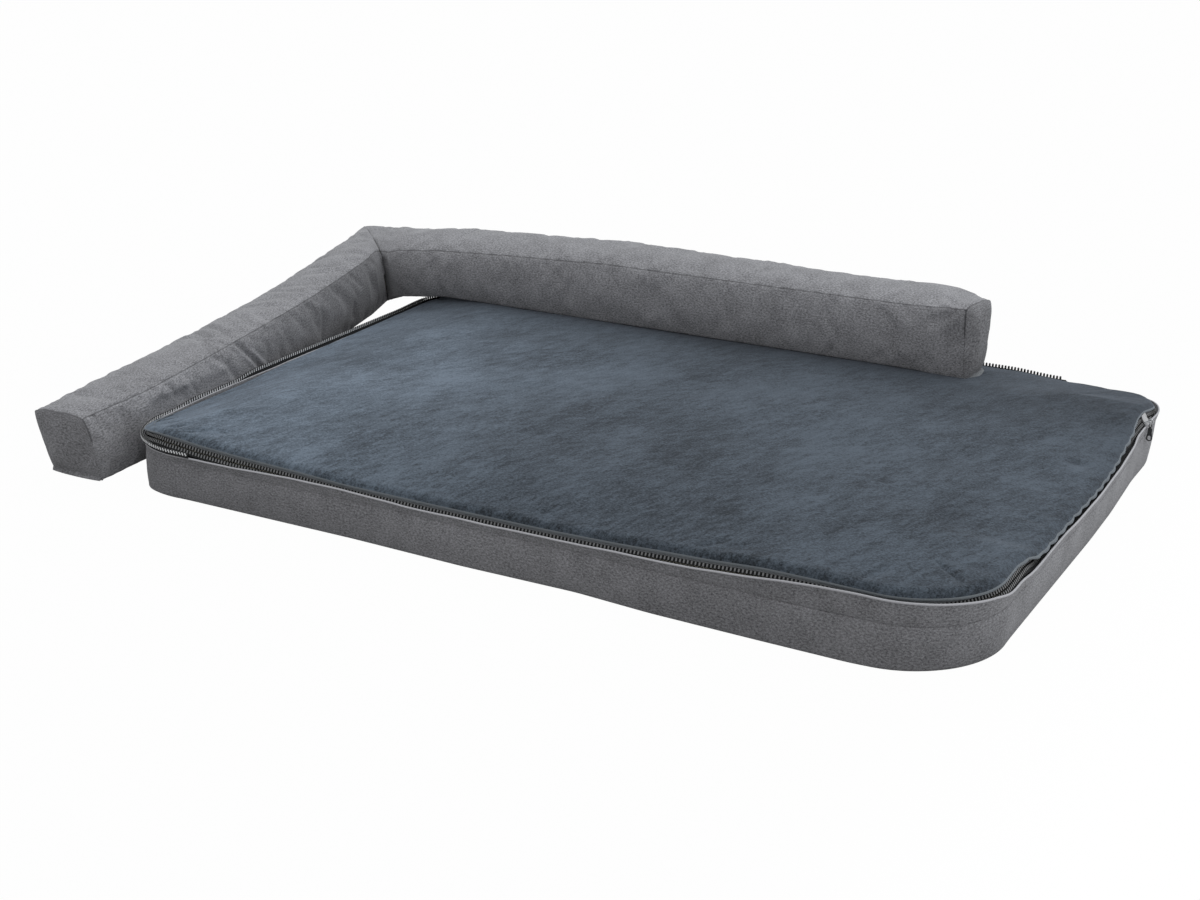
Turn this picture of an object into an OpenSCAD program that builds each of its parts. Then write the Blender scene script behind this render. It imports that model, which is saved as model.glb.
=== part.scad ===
// Dog mattress with a zip-off plush lid and an L-shaped bolster that zips on round
// its left and back edges. The bolster is shown unzipped and laid askew: its back arm
// rests on the lid, its corner hangs past the back left corner of the mattress, and
// the end of its left arm stands on the floor.
// The origin is the middle of the mattress's underside. X runs to the right, Y to the
// back and Z up. Edge profiles are drawn as [outward, up] from the mattress's outline.

/* [Mattress] */
// Length of the mattress, left to right
mattress_length = 1000; // [900:10:1100]
// Depth of the mattress, front to back
mattress_depth = 700; // [620:10:780]
// Radius of the four corners in plan
corner_radius = 95; // [85:1:105]
// Thickness of the side, base and facing cloth
cloth = 1.2; // [0.8:0.1:1.5]
// Height of the side band's top seam above the floor
band_height = 43; // [36:0.5:60]
// Height of the folded facing strip above that seam
facing_height = 9.8; // [8:0.1:12]
// How far the facing strip stands proud of the side band
facing_proud = 0.6; // [0.4:0.1:0.8]
// Space between the foam and the cloth round it
cloth_gap = 0.3; // [0.2:0.05:0.4]

/* [Lid] */
// Thickness of the plush lid with its wadding
lid_thickness = 2.5; // [2:0.1:3]
// Radius of the lid's rolled rim
lid_roll = 12; // [11:0.5:14]
// Rise of the lid from its rolled rim to its middle
lid_crown = 5; // [3:0.5:10]
// How much lower the lid's rim lies along the left and back edges
lid_edge_drop = 9; // [7:0.5:10]
// Width of the slope that makes up for that drop
lid_slope = 110; // [90:5:140]
// Space between the foam and the underside of the lid
foam_gap = 1.3; // [1.2:0.1:1.8]

/* [Main zip] */
// Lean of the zip from upright, in degrees
zip_lean = 30; // [25:1:35]
// Height of the zip's middle above the facing's top
zip_rise = 6.2; // [5.8:0.1:7]
// Distance of the zip's middle inside the outline
zip_inset = 4.5; // [4:0.1:4.8]
// Width of one row of teeth
tooth_width = 3.5; // [3:0.1:3.6]
// Thickness of a row of teeth
tooth_thickness = 3.2; // [2.8:0.1:3.2]
// Gap left between the two rows for the slider's wedge
row_gap = 2.2; // [2:0.1:2.4]
// Thickness of the zip tape
tape_thickness = 0.8; // [0.6:0.1:1]

/* [Slider] */
// Length of a slider along the zip
slider_length = 16; // [14:0.5:18]
// Thickness of a slider's two plates
slider_plate = 1.3; // [1:0.1:1.4]
// Clearance of a slider round the teeth
slider_clearance = 0.5; // [0.4:0.05:0.6]
// Distance from the main slider's middle forward of the back edge
slider_inset = 103; // [100:1:140]
// Height of the main slider's bail above its plate
bail_height = 5; // [5:0.1:5.5]
// Radius of the bail's rod
bail_rod = 0.7; // [0.6:0.05:0.75]

/* [Pull] */
// Radius of the first pull ring, to the middle of its wire
link_radius = 2.4; // [2.3:0.05:2.6]
// Radius of the first pull ring's wire
link_wire = 0.65; // [0.55:0.05:0.7]
// Radius of the second pull ring, to the middle of its wire
ring_radius = 2; // [1.95:0.05:2.2]
// Radius of the second pull ring's wire
ring_wire = 0.55; // [0.5:0.05:0.55]
// Slack between the parts of the pull chain
pull_slack = 0.1; // [0.05:0.01:0.12]
// Length of the pull tab below its eye
tab_length = 18; // [15:0.5:22]
// Width of the pull tab at its round end
tab_width = 7; // [6.5:0.1:7.4]
// Thickness of the pull tab
tab_thickness = 1.6; // [1.2:0.1:1.8]
// Width of the oval hole through the pull tab
tab_hole = 3.4; // [3:0.1:3.8]

/* [Bolster] */
// Width of the bolster's two arms
bolster_width = 88; // [78:1:96]
// Height of the bolster's two arms
bolster_height = 80; // [70:1:90]
// Length of the back arm, from the middle of the corner to its end
back_arm_length = 892; // [840:4:940]
// Length of the left arm, from the middle of the corner to its end
left_arm_length = 644; // [600:4:680]
// Distance from the mattress's left edge out to the middle of the bolster's corner
corner_gap = 104; // [104:1:120]
// Distance of the back arm inside the mattress's back edge
bolster_inset = 12; // [8:1:30]
// Sideways reach of the left arm's end towards the mattress
left_arm_splay = 53; // [40:1:53]
// Height at which the bolster's corner hangs above the floor
corner_height = 57; // [50:1:62]
// How much the back arm is squashed where it leaves the mattress
bend_squash = 14; // [0:1:20]
// Width of the left arm at its drawn-in end
left_end_width = 66; // [56:1:76]
// Width of the back arm at its drawn-in end
right_end_width = 55; // [48:1:70]
// Length over which the ends are drawn in
end_taper = 85; // [60:5:100]
// Crown of the bolster's top above its seams
top_crown = 7; // [4:0.5:9]
// Swell of the bolster's sides beyond their seams
side_swell = 5; // [3:0.5:6]
// Swell of the two end caps
cap_swell = 4; // [2:0.5:6]
// Clearance of the bolster above the lid
rest_clearance = 0.4; // [0.3:0.05:0.6]

/* [Bolster zip] */
// Width of the tape between the bolster's seam and its teeth
tape_width = 10; // [9:0.5:12]
// Height of the upright tape of the mattress's half, above its seam
comb_tape_height = 12; // [10:0.5:14]
// Distance of the comb's back end inside the mattress's right edge
comb_inset = 120; // [110:2:160]
// Length of the comb's front end, past the front left corner
comb_wrap = 14; // [8:1:30]
// How much lower the comb lies at the front left corner
comb_dip = 9.5; // [8:0.5:10]
// Length of the box and the pin at the ends of the bolster zip
box_length = 9; // [7:0.5:12]

/* [Hidden] */

plush_colour = "#4d5964";
heather_colour = "#6c6c70";
tape_colour = "#7d8083";
teeth_colour = "#2c2f33";
metal_colour = "#a9abad";
black_colour = "#1e1f21";
foam_colour = "#e6dfc8";

tiny = 0.01;
half_length = mattress_length / 2;
half_depth = mattress_depth / 2;
facing_top = band_height + facing_height;
zip_height = facing_top + zip_rise;
row_near = row_gap / 2;
row_far = row_near + tooth_width;
teeth_half = tooth_thickness / 2;
tape_half = tape_thickness / 2;

// A point of the edge profile, given along the zip's plane and out of it
function on_zip(along, out) =
    [-zip_inset - along * sin(zip_lean) + out * cos(zip_lean),
     zip_height + along * cos(zip_lean) + out * sin(zip_lean)];

function clamp(x) = min(1, max(0, x));
function smooth(x) = let (c = clamp(x)) c * c * (3 - 2 * c);
function mix(a, b, t) = a + (b - a) * t;

// Outline of the mattress: corners are counted from the front right one, to the left
corner_start = [270, 0, 90, 180];
corner_side = [[1, -1], [1, 1], [-1, 1], [-1, -1]];
inner_radius = 5;

function inset_radius(inset) = max(corner_radius - inset, inner_radius);
function corner_centre(k, inset) =
    let (r = inset_radius(inset))
    [corner_side[k].x * (half_length - inset - r), corner_side[k].y * (half_depth - inset - r)];
function arc_point(k, angle, inset) =
    let (a = corner_start[k] + angle)
    corner_centre(k, inset) + inset_radius(inset) * [cos(a), sin(a)];
function side_point(k, share, inset) =
    mix(arc_point(k, 90, inset), arc_point((k + 1) % 4, 0, inset), share);

// Straight length of the side that follows corner k
function side_run(k) = (k % 2 == 0 ? mattress_depth : mattress_length) - 2 * corner_radius;

// Stops round the rim: [corner, angle, share of the side], with -1 for what isn't used
side_shares = [[0.25, 0.5, 0.75], [0.1, 0.3, 0.5, 0.7, 0.9], [0.15, 0.4, 0.6, 0.84],
               [0.17, 0.33, 0.5, 0.67, 0.83]];
arc_step = 10;
rim_stops = [for (k = [0:3])
    each concat([for (a = [0:arc_step:90]) [k, a, -1]], [for (u = side_shares[k]) [k, -1, u]])];
rim_count = len(rim_stops);
function rim_point(stop, inset) =
    stop[1] >= 0 ? arc_point(stop[0], stop[1], inset) : side_point(stop[0], stop[2], inset);

// One along the zip (front, right and their corners), falling to none along the sewn edges
sewn_fade = 76;
function zipped(stop) =
    stop[0] == 1 && stop[2] >= 0 ? clamp(1 - stop[2] * side_run(1) / sewn_fade) :
    stop[0] == 2 && stop[2] >= 0 ? clamp(1 - (1 - stop[2]) * side_run(2) / sewn_fade) :
    stop[0] == 2 ? 0 : 1;

// Shape of the lid across its edge: a rolled rim, and then the crown
lid_seam = 7.3;
roll_start = 24;
roll_angles = [roll_start, 46, 68, 90];
roll_middle = on_zip(lid_seam, lid_thickness + tape_half + 0.1)
              - lid_roll * [cos(roll_start), sin(roll_start)];
roll_inset = -roll_middle.x;
roll_top = roll_middle.y + lid_roll;
crown_reach = half_depth - inner_radius - 10;
crown_insets = [32, 60, 110, 180, 260, crown_reach];
edge_shift = 3.7;

function crown_share(inset) = sin(90 * clamp((inset - roll_inset) / (crown_reach - roll_inset)));
function drop_at(inset) = lid_edge_drop * pow(1 - clamp((inset - roll_inset) / lid_slope), 1.5);
// Height of the lid's upper face at an inset; zip is 1 beside the main zip and 0 elsewhere
function lid_height(inset, zip) =
    roll_top + lid_crown * crown_share(inset) - (1 - zip) * drop_at(inset);

// Rings of a crowned layer whose rim is rolled by radius, its crown below the lid's by depth
function roll_rings(radius, zip) = [for (i = [0:len(roll_angles) - 1])
    let (a = roll_angles[i])
    [roll_inset - radius * cos(a) - (1 - zip) * edge_shift * (1 - i / (len(roll_angles) - 1)),
     roll_middle.y + radius * sin(a) - (1 - zip) * lid_edge_drop]];
function crown_rings(depth, zip) = [for (d = crown_insets) [d, lid_height(d, zip) - depth]];
function lid_rings(depth, zip) = concat(roll_rings(lid_roll - depth, zip), crown_rings(depth, zip));

function ring_points(rings_at) = [for (k = [0:len(rings_at(1)) - 1]) for (s = rim_stops)
    let (ring = rings_at(zipped(s))[k], p = rim_point(s, ring[0]))
    [p.x, p.y, ring[1]]];

// Triangles between two closed rings of n points, the first starting at a, the next at b
function ring_faces(a, b, n) = [for (i = [0:n - 1])
    let (j = (i + 1) % n)
    each [[a + i, b + i, b + j], [a + i, b + j, a + j]]];
function flipped(faces) = [for (f = faces) [f[2], f[1], f[0]]];

// Edge strips: a profile drawn as [outward, up] and run along chosen sides and corners
module along_side(k) {
    rotate([0, 0, 90 * k])
    translate([k % 2 == 0 ? half_length : half_depth, side_run(k) / 2, 0])
    rotate([90, 0, 0])
    linear_extrude(side_run(k)) children();
}

module round_corner(k) {
    centre = corner_centre(k, 0);
    translate([centre.x, centre.y, 0])
    rotate([0, 0, corner_start[k]])
    rotate_extrude(angle = 90, $fn = 96)
    translate([corner_radius, 0]) children();
}

module all_round() {
    for (k = [0:3]) {
        along_side(k) children();
        round_corner(k) children();
    }
}

// The main zip runs from the front left corner to the back right one
module along_zip() {
    for (k = [0, 3]) along_side(k) children();
    for (k = [0, 1, 3]) round_corner(k) children();
}

module base_panel() {
    color(heather_colour)
    linear_extrude(cloth)
    union() {
        square([mattress_length - 2 * corner_radius, mattress_depth], center = true);
        square([mattress_length, mattress_depth - 2 * corner_radius], center = true);
        for (k = [0:3]) translate(corner_centre(k, 0)) circle(corner_radius, $fn = 96);
    }
}

// The foam fills the cover and keeps clear of the slider's inner plate
module foam_core() {
    core_inset = cloth + tape_thickness + 2 * cloth_gap + 0.2;
    slider_depth = slider_half + 0.6;
    shoulder = on_zip(0, -slider_depth);
    knee_height = shoulder.y + (core_inset + shoulder.x) / tan(zip_lean);
    top_corner = on_zip(7, -slider_depth);
    depth = lid_thickness + foam_gap;
    rings = function (zip) concat(
        [[core_inset, cloth + cloth_gap],
         [core_inset, knee_height - (1 - zip) * lid_edge_drop],
         [-top_corner.x, top_corner.y - (1 - zip) * lid_edge_drop],
         [roll_inset - (lid_roll - depth) * cos(roll_angles[2]),
          roll_middle.y + (lid_roll - depth) * sin(roll_angles[2]) - (1 - zip) * lid_edge_drop]],
        [[roll_inset, roll_top - depth - (1 - zip) * lid_edge_drop]],
        crown_rings(depth, zip));
    count = len(rings(1));
    points = concat(ring_points(rings),
                    [[0, 0, lid_height(crown_reach, 1) - depth], [0, 0, cloth + cloth_gap]]);
    top = count * rim_count;
    last = top - rim_count;
    color(foam_colour)
    polyhedron(points, flipped(concat(
        [for (k = [0:count - 2]) each ring_faces((k + 1) * rim_count, k * rim_count, rim_count)],
        [for (i = [0:rim_count - 1]) [last + i, last + (i + 1) % rim_count, top]],
        [for (i = [0:rim_count - 1]) [(i + 1) % rim_count, i, top + 1]])), convexity = 4);
}

module side_band() {
    color(heather_colour)
    all_round() translate([-cloth, cloth]) square([cloth, band_height - cloth]);
}

// The facing hides the seam; along the sewn edges it reaches up to the lid
module zip_facing() {
    sewn_top = on_zip(lid_seam, 0).y - lid_edge_drop - 0.8;
    color(heather_colour) {
        for (k = [0, 3]) along_side(k) facing_profile(facing_top);
        for (k = [0, 1, 3]) round_corner(k) facing_profile(facing_top);
        for (k = [1, 2]) along_side(k) facing_profile(sewn_top);
        round_corner(2) facing_profile(sewn_top);
    }
}

module facing_profile(top) {
    translate([-cloth, band_height]) square([cloth + facing_proud, top - band_height]);
}

// The lid is a thin crowned shell over the foam
module plush_lid() {
    outer = function (zip) lid_rings(0, zip);
    inner = function (zip) lid_rings(lid_thickness, zip);
    count = len(outer(1));
    ring_total = count * rim_count;
    points = concat(ring_points(outer), [[0, 0, lid_height(crown_reach, 1)]],
                    ring_points(inner), [[0, 0, lid_height(crown_reach, 1) - lid_thickness]]);
    below = ring_total + 1;
    outer_faces = concat(
        [for (k = [0:count - 2]) each ring_faces((k + 1) * rim_count, k * rim_count, rim_count)],
        [for (i = [0:rim_count - 1])
            [ring_total - rim_count + i, ring_total - rim_count + (i + 1) % rim_count, ring_total]]);
    inner_faces = [for (f = flipped(outer_faces)) [f[0] + below, f[1] + below, f[2] + below]];
    color(plush_colour)
    polyhedron(points, flipped(concat(outer_faces, inner_faces, ring_faces(0, below, rim_count))),
               convexity = 6);
}

// The lid's tape runs on under the rolled rim, to which it is sewn
module lid_zip_tape() {
    outer_arc = lid_roll - lid_thickness - 0.5;
    arc = [for (a = [30:10:60]) a];
    color(tape_colour)
    along_zip() polygon(concat(
        [on_zip(row_far, -tape_half), on_zip(row_far, tape_half), on_zip(lid_seam, tape_half)],
        [for (a = arc) roll_middle + outer_arc * [cos(a), sin(a)]],
        [for (i = [len(arc) - 1:-1:0])
            roll_middle + (outer_arc - tape_thickness) * [cos(arc[i]), sin(arc[i])]],
        [on_zip(lid_seam, -tape_half)]));
}

// The base tape turns down behind the facing
module base_zip_tape() {
    face = -cloth - 0.1;
    turn = on_zip(-6.4, 0);
    color(tape_colour)
    along_zip() polygon([on_zip(-row_far, tape_half), on_zip(-row_far, -tape_half),
        [face - tape_thickness, turn.y], [face - tape_thickness, band_height - 3],
        [face, band_height - 3], [face, turn.y - 0.6], turn + [0.2, 0.4]]);
}

// Rows of teeth: side is 1 for the lid's row and -1 for the base's row
module tooth_row(side) {
    along_zip() polygon([on_zip(side * row_near, -teeth_half), on_zip(side * row_far, -teeth_half),
        on_zip(side * row_far, teeth_half), on_zip(side * row_near, teeth_half)]);
}

module lid_zip_teeth() {
    color(teeth_colour) tooth_row(1);
}

module base_zip_teeth() {
    color(teeth_colour) tooth_row(-1);
}

// One stop at the closed start of the zip and one at the end of each row
module main_zip_stops() {
    stop_length = 3;
    stop_gap = 0.1;
    color(metal_colour) {
        translate([-half_length + corner_radius, -half_depth + corner_radius + stop_gap, 0])
        rotate([90, 0, 180])
        linear_extrude(stop_length)
        translate([corner_radius, 0])
        stop_profile(-row_far, row_far);
        for (side = [-1, 1])
            translate([half_length - corner_radius - stop_gap, half_depth - corner_radius, 0])
            rotate([90, 0, 90])
            mirror([0, 0, 1])
            linear_extrude(stop_length)
            translate([corner_radius, 0])
            stop_profile(side * row_near, side * row_far);
    }
}

module stop_profile(from, to) {
    polygon([on_zip(from, -teeth_half), on_zip(to, -teeth_half),
             on_zip(to, teeth_half), on_zip(from, teeth_half)]);
}

// Path of the comb: from its front end, round the front left and back left corners
comb_step = 7.5;
comb_front = -half_length + corner_radius + comb_wrap;
comb_back = half_length - comb_inset;
comb_sewn = on_zip(lid_seam, 0).y - lid_edge_drop;
comb_path = concat(
    [[comb_front, -half_depth, 0, -1, 1], [comb_front - comb_wrap, -half_depth, 0, -1, 1]],
    [for (a = [90 - comb_step:-comb_step:0]) comb_stop(3, a, 1 - smooth((75 - a) / 75))],
    [for (u = [0.75, 0.5, 0.25]) let (p = side_point(2, u, 0)) [p.x, p.y, -1, 0, 0]],
    [for (a = [90:-comb_step:0]) comb_stop(2, a, 0)],
    [for (u = [0.2, 0.4, 0.6, 0.8])
        [mix(-half_length + corner_radius, comb_back, u), half_depth, 0, 1, 0]],
    [[comb_back, half_depth, 0, 1, 0]]);
function comb_stop(k, angle, dip) =
    let (p = arc_point(k, angle, 0), a = corner_start[k] + angle) [p.x, p.y, cos(a), sin(a), dip];

// A strip of rectangular section, out from r0 to r1 and up from z0 to z1, along stops
// [x, y, outward x, outward y, dip]
module comb_strip(stops, r0, r1, z0, z1) {
    corners = [[r0, z0], [r1, z0], [r1, z1], [r0, z1]];
    points = [for (s = stops) for (c = corners)
        [s[0] + s[2] * c[0], s[1] + s[3] * c[0], c[1] - s[4] * comb_dip]];
    last = 4 * (len(stops) - 1);
    polyhedron(points, concat(
        [for (k = [0:len(stops) - 2]) each ring_faces(4 * k, 4 * (k + 1), 4)],
        [[0, 1, 2], [0, 2, 3], [last + 2, last + 1, last], [last + 3, last + 2, last]]),
        convexity = 8);
}

comb_face = facing_proud + 0.3;
comb_foot = comb_sewn + 1.2;

module comb_tape() {
    color(tape_colour)
    comb_strip(comb_path, comb_face, comb_face + tape_thickness,
               comb_foot - comb_tape_height, comb_foot);
}

module comb_teeth() {
    color(teeth_colour)
    comb_strip(comb_path, comb_face, comb_face + tooth_thickness - 0.8,
               comb_foot, comb_foot + tooth_width);
}

// Pin of the separating zip, at the comb's back end
module comb_pin() {
    color(black_colour)
    translate([comb_back + tiny, half_depth + comb_face + tape_half, comb_foot + tooth_width / 2])
    rotate([0, 90, 0])
    cylinder(h = box_length, r = tooth_width / 2 - 0.3, $fn = 24);
}

// A slider in its own frame: its zip runs along Y in the XY plane, its bail stands on top
slider_half = teeth_half + slider_clearance + slider_plate;
flange = 1;
slider_wide = row_far + slider_clearance + flange;

module slider_plates() {
    wedge = row_gap - 0.8;
    for (side = [-1, 1])
        plate_shape(side > 0 ? slider_half - slider_plate : -slider_half);
    for (side_x = [-1, 1]) for (side_z = [-1, 1])
        translate([side_x > 0 ? slider_wide - flange : -slider_wide,
                   -slider_length / 2 + 2, side_z > 0 ? tape_half + 0.5 : -slider_half + tiny])
        cube([flange, slider_length - 3, slider_half - tape_half - 0.5 - tiny]);
    translate([-wedge / 2, -slider_length / 2 + 1, -slider_half + tiny])
    cube([wedge, 4, 2 * slider_half - 2 * tiny]);
}

// A slider's plate is widest at its open end and has a notch between its shoulders
module plate_shape(z) {
    back = -slider_length / 2;
    front = slider_length / 2;
    translate([0, 0, z])
    linear_extrude(slider_plate)
    polygon([[0, back + 1], [slider_wide * 0.4, back], [slider_wide * 0.8, back],
        [slider_wide, back + 2], [slider_wide, front - 2], [slider_wide - 2, front],
        [-slider_wide + 2, front], [-slider_wide, front - 2], [-slider_wide, back + 2],
        [-slider_wide * 0.8, back], [-slider_wide * 0.4, back]]);
}

// The bail is an arch along the slider's travel, at x and height over the plate
module bail(x, height, reach) {
    top = slider_half + height;
    for (side = [-1, 1])
        translate([x, side * reach, slider_half - 0.4])
        cylinder(h = top - slider_half + 0.4, r = bail_rod, $fn = 24);
    translate([x, -reach, top]) rotate([-90, 0, 0]) cylinder(h = 2 * reach, r = bail_rod, $fn = 24);
    for (side = [-1, 1]) translate([x, side * reach, top]) sphere(bail_rod, $fn = 24);
}

// Places and joint axes of the main slider and its pull, hanging outside the band
slider_y = half_depth - slider_inset;
slider_middle = [half_length - zip_inset, slider_y, zip_height];
bail_x = -4;
bail_reach = 3;
bail_out = on_zip(bail_x, slider_half + bail_height);
bail_point = [half_length + bail_out.x, slider_y, bail_out.y];
link_drop = link_radius - link_wire - bail_rod - pull_slack;
link_middle = bail_point - [0, 0, link_drop];
link_foot = link_middle - [0, 0, link_radius];
ring_middle = link_foot + [0, 0, link_wire + ring_wire + pull_slack - ring_radius];
ring_foot = ring_middle - [0, 0, ring_radius];
tab_eye = ring_wire + 0.6;
tab_rim = 0.85;
// Height of the round ring's inner edge above its foot, at the two faces of the tab
wire_top = ring_radius - sqrt(pow(ring_radius - ring_wire, 2) - pow(tab_thickness / 2, 2));
tab_middle = ring_foot - [0, 0, tab_eye - wire_top - pull_slack];

module main_slider() {
    color(metal_colour)
    translate(slider_middle)
    rotate([0, 90 - zip_lean, 0])
    rotate([0, 0, 180]) {
        slider_plates();
        bail(bail_x, bail_height, bail_reach);
    }
}

module wire_ring(radius, wire) {
    rotate_extrude($fn = 48) translate([radius, 0]) circle(wire, $fn = 16);
}

module main_pull_link() {
    color(metal_colour) translate(link_middle) rotate([90, 0, 0]) wire_ring(link_radius, link_wire);
}

module main_pull_ring() {
    color(metal_colour) translate(ring_middle) rotate([0, 90, 0]) wire_ring(ring_radius, ring_wire);
}

// The tab is a flat tag that widens to a round end with an oval hole
module main_pull_tab() {
    end_radius = tab_width / 2;
    neck = tab_eye + tab_rim;
    end_y = -tab_length + end_radius;
    hole_y = end_y + 0.4;
    hole_rise = 1;
    color(black_colour)
    translate(tab_middle)
    rotate([90, 0, 0])
    difference() {
        union() {
            cylinder(h = tab_thickness, r = neck, center = true, $fn = 48);
            translate([0, 0, -tab_thickness / 2])
            linear_extrude(tab_thickness)
            polygon([[-1.2, 0], [1.2, 0], [1.3, -neck - 0.4], [2.6, -neck - 1.2], [2.3, -neck - 5],
                [end_radius, end_y], [-end_radius, end_y], [-2.3, -neck - 5],
                [-2.6, -neck - 1.2], [-1.3, -neck - 0.4]]);
            translate([0, end_y, 0])
            cylinder(h = tab_thickness, r = end_radius, center = true, $fn = 64);
        }
        cylinder(h = tab_thickness + 1, r = tab_eye, center = true, $fn = 48);
        for (side = [-1, 1])
            translate([0, hole_y + side * hole_rise, 0])
            cylinder(h = tab_thickness + 1, r = tab_hole / 2, center = true, $fn = 48);
        translate([0, hole_y, 0])
        cube([tab_hole, 2 * hole_rise, tab_thickness + 1], center = true);
    }
}

// The bolster is swept through stops, each a frame with its own width and height:
// [middle of the underside, outward, up, width, height, swell share, depth of the cap]
skin_gap = 0.3;
skin = skin_gap + cloth;
fill_width = bolster_width - 2 * skin;
fill_height = bolster_height - 2 * skin;
arm_y = half_depth - bolster_inset - bolster_width / 2;
corner_x = -half_length - corner_gap;
arm_end_x = corner_x + back_arm_length;
rest_height = lid_height(half_depth - arm_y + bolster_width / 2, 0) + rest_clearance;
bend_x = -half_length + 45;
squash_x = -half_length + 50;
squash_reach = 250;
left_bend_power = 1.8;

function arm_base(x) = mix(rest_height, corner_height, clamp((bend_x - x) / (bend_x - corner_x)));
function arm_tall(x) = fill_height - bend_squash * max(0, 1 - abs(x - squash_x) / squash_reach);
corner_tall = arm_tall(corner_x);

function back_stop(along) =
    let (x = corner_x + along,
         open = smooth((back_arm_length - along) / end_taper),
         wide = mix(right_end_width - 2 * skin, fill_width, open))
    [[x, arm_y - (fill_width - wide) / 2, arm_base(x) + skin], [0, 1, 0], [0, 0, 1],
     wide, arm_tall(x), open, 1];

function left_x(share) = corner_x + left_arm_splay * (1 - pow(share, left_bend_power));
function left_stop(along) =
    let (share = along / left_arm_length,
         slope = left_arm_splay * left_bend_power * pow(share, left_bend_power - 1) / left_arm_length,
         open = smooth(along / end_taper),
         outward = [-1, -slope, 0] / norm([1, slope]))
    [[left_x(share), arm_y - left_arm_length + along, corner_height * share + skin],
     outward, [0, -0.25 * (1 - open), 1],
     mix(left_end_width - 2 * skin, fill_width, open),
     mix(fill_height, corner_tall, share * share), open, -1];

// The two arms meet in one mitred stop
mitre_stop =
    let (n1 = left_stop(left_arm_length)[1], n2 = [0, 1, 0], n = n1 + n2, unit = n / norm(n))
    [[corner_x, arm_y, corner_height + skin], unit / (unit * n2), [0, 0, 1],
     fill_width, corner_tall, 1, 0];

left_runs = [0, 25, 55, 85, 150, 230, 310, 390, 470, 550];
back_runs = [78, 140, 220, 300, 400, 500, 600, 700, back_arm_length - 85,
             back_arm_length - 55, back_arm_length - 25, back_arm_length];
left_stops = concat([for (a = left_runs) left_stop(a)], [mitre_stop]);
back_stops = concat([mitre_stop], [for (a = back_runs) back_stop(a)]);

// Points across one face of the bolster at a stop, with the face moved out by grow
base_steps = 2;
side_steps = 3;
top_steps = 4;
function face_point(stop, side, share, grow) =
    let (w = stop[3] / 2 + grow, low = -grow, high = stop[4] + grow,
         swell = sin(180 * share) * stop[5],
         uv = side == "base" ? [mix(-w, w, share), low] :
              side == "outer" ? [w + side_swell * swell, mix(low, high, share)] :
              side == "top" ? [mix(w, -w, share), high + top_crown * swell] :
              [-w - side_swell * swell, mix(high, low, share)])
    stop[0] + uv[0] * stop[1] + uv[1] * stop[2];

function face_points(stop, side, steps, grow) =
    [for (i = [0:steps]) face_point(stop, side, i / steps, grow)];
function without_last(list) = [for (i = [0:len(list) - 2]) list[i]];
function whole_ring(stop, grow) = concat(
    without_last(face_points(stop, "base", base_steps, grow)),
    without_last(face_points(stop, "outer", side_steps, grow)),
    without_last(face_points(stop, "top", top_steps, grow)),
    without_last(face_points(stop, "inner", side_steps, grow)));
whole_count = base_steps + 2 * side_steps + top_steps;

// Middle of a stop's face, pushed along the arm by the swell of the cap
function cap_middle(stop, swell, arm) =
    stop[0] + stop[4] / 2 * stop[2] + arm * swell;

// A skin along the stops over one face of the bolster
module face_panel(stops, side, steps) {
    span = steps + 1;
    ring = 2 * span;
    points = [for (s = stops) each concat(
        face_points(s, side, steps, skin),
        [for (i = [steps:-1:0]) face_point(s, side, i / steps, skin_gap)])];
    last = ring * (len(stops) - 1);
    cap = [for (i = [0:steps - 1]) each
        [[i, i + 1, ring - 2 - i], [i, ring - 2 - i, ring - 1 - i]]];
    polyhedron(points, flipped(concat(
        [for (k = [0:len(stops) - 2]) each panel_faces(ring * k, ring * (k + 1), steps)],
        cap, [for (f = flipped(cap)) [f[0] + last, f[1] + last, f[2] + last]])), convexity = 6);
}

// The inner face is split along the same diagonals as the outer one, so the two stay parallel
function panel_faces(a, b, steps) = let (ring = 2 * steps + 2) concat(
    [for (i = [0:steps - 1]) each [[a + i, b + i, b + i + 1], [a + i, b + i + 1, a + i + 1]]],
    [for (i = [0:steps - 1]) let (here = ring - 1 - i, next = ring - 2 - i) each
        [[b + next, b + here, a + here], [a + next, b + next, a + here]]],
    [for (e = [[steps, steps + 1], [ring - 1, 0]]) each
        [[a + e[0], b + e[0], b + e[1]], [a + e[0], b + e[1], a + e[1]]]]);

// The filling of one arm: flat at the mitre and swollen at its free end
module arm_fill(stops, free_end, arm) {
    n = whole_count;
    last = n * (len(stops) - 1);
    points = concat([for (s = stops) each whole_ring(s, 0)],
        [cap_middle(stops[0], free_end == 0 ? cap_swell : 0, arm),
         cap_middle(stops[len(stops) - 1], free_end == 1 ? cap_swell : 0, arm)]);
    first_middle = len(points) - 2;
    color(foam_colour)
    polyhedron(points, flipped(concat(
        [for (k = [0:len(stops) - 2]) each ring_faces(n * k, n * (k + 1), n)],
        [for (i = [0:n - 1]) [i, (i + 1) % n, first_middle]],
        [for (i = [0:n - 1]) [last + (i + 1) % n, last + i, first_middle + 1]])), convexity = 4);
}

// A square cap sewn over the end of an arm, with its middle swollen
module end_cap(stop, arm) {
    n = whole_count;
    edge = whole_ring(stop, skin);
    points = concat([for (p = edge) p + arm * skin_gap], [for (p = edge) p + arm * skin],
        [cap_middle(stop, cap_swell + skin_gap, arm), cap_middle(stop, cap_swell + skin, arm)]);
    faces = concat(ring_faces(0, n, n),
        [for (i = [0:n - 1]) [i, (i + 1) % n, 2 * n]],
        [for (i = [0:n - 1]) [n + (i + 1) % n, n + i, 2 * n + 1]]);
    color(heather_colour)
    polyhedron(points, arm * [1, -1, 0] > 0 ? faces : flipped(faces), convexity = 4);
}

left_way = [0, -1, 0];
right_way = [1, 0, 0];

module left_fill() {
    arm_fill(left_stops, 0, left_way);
}

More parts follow.
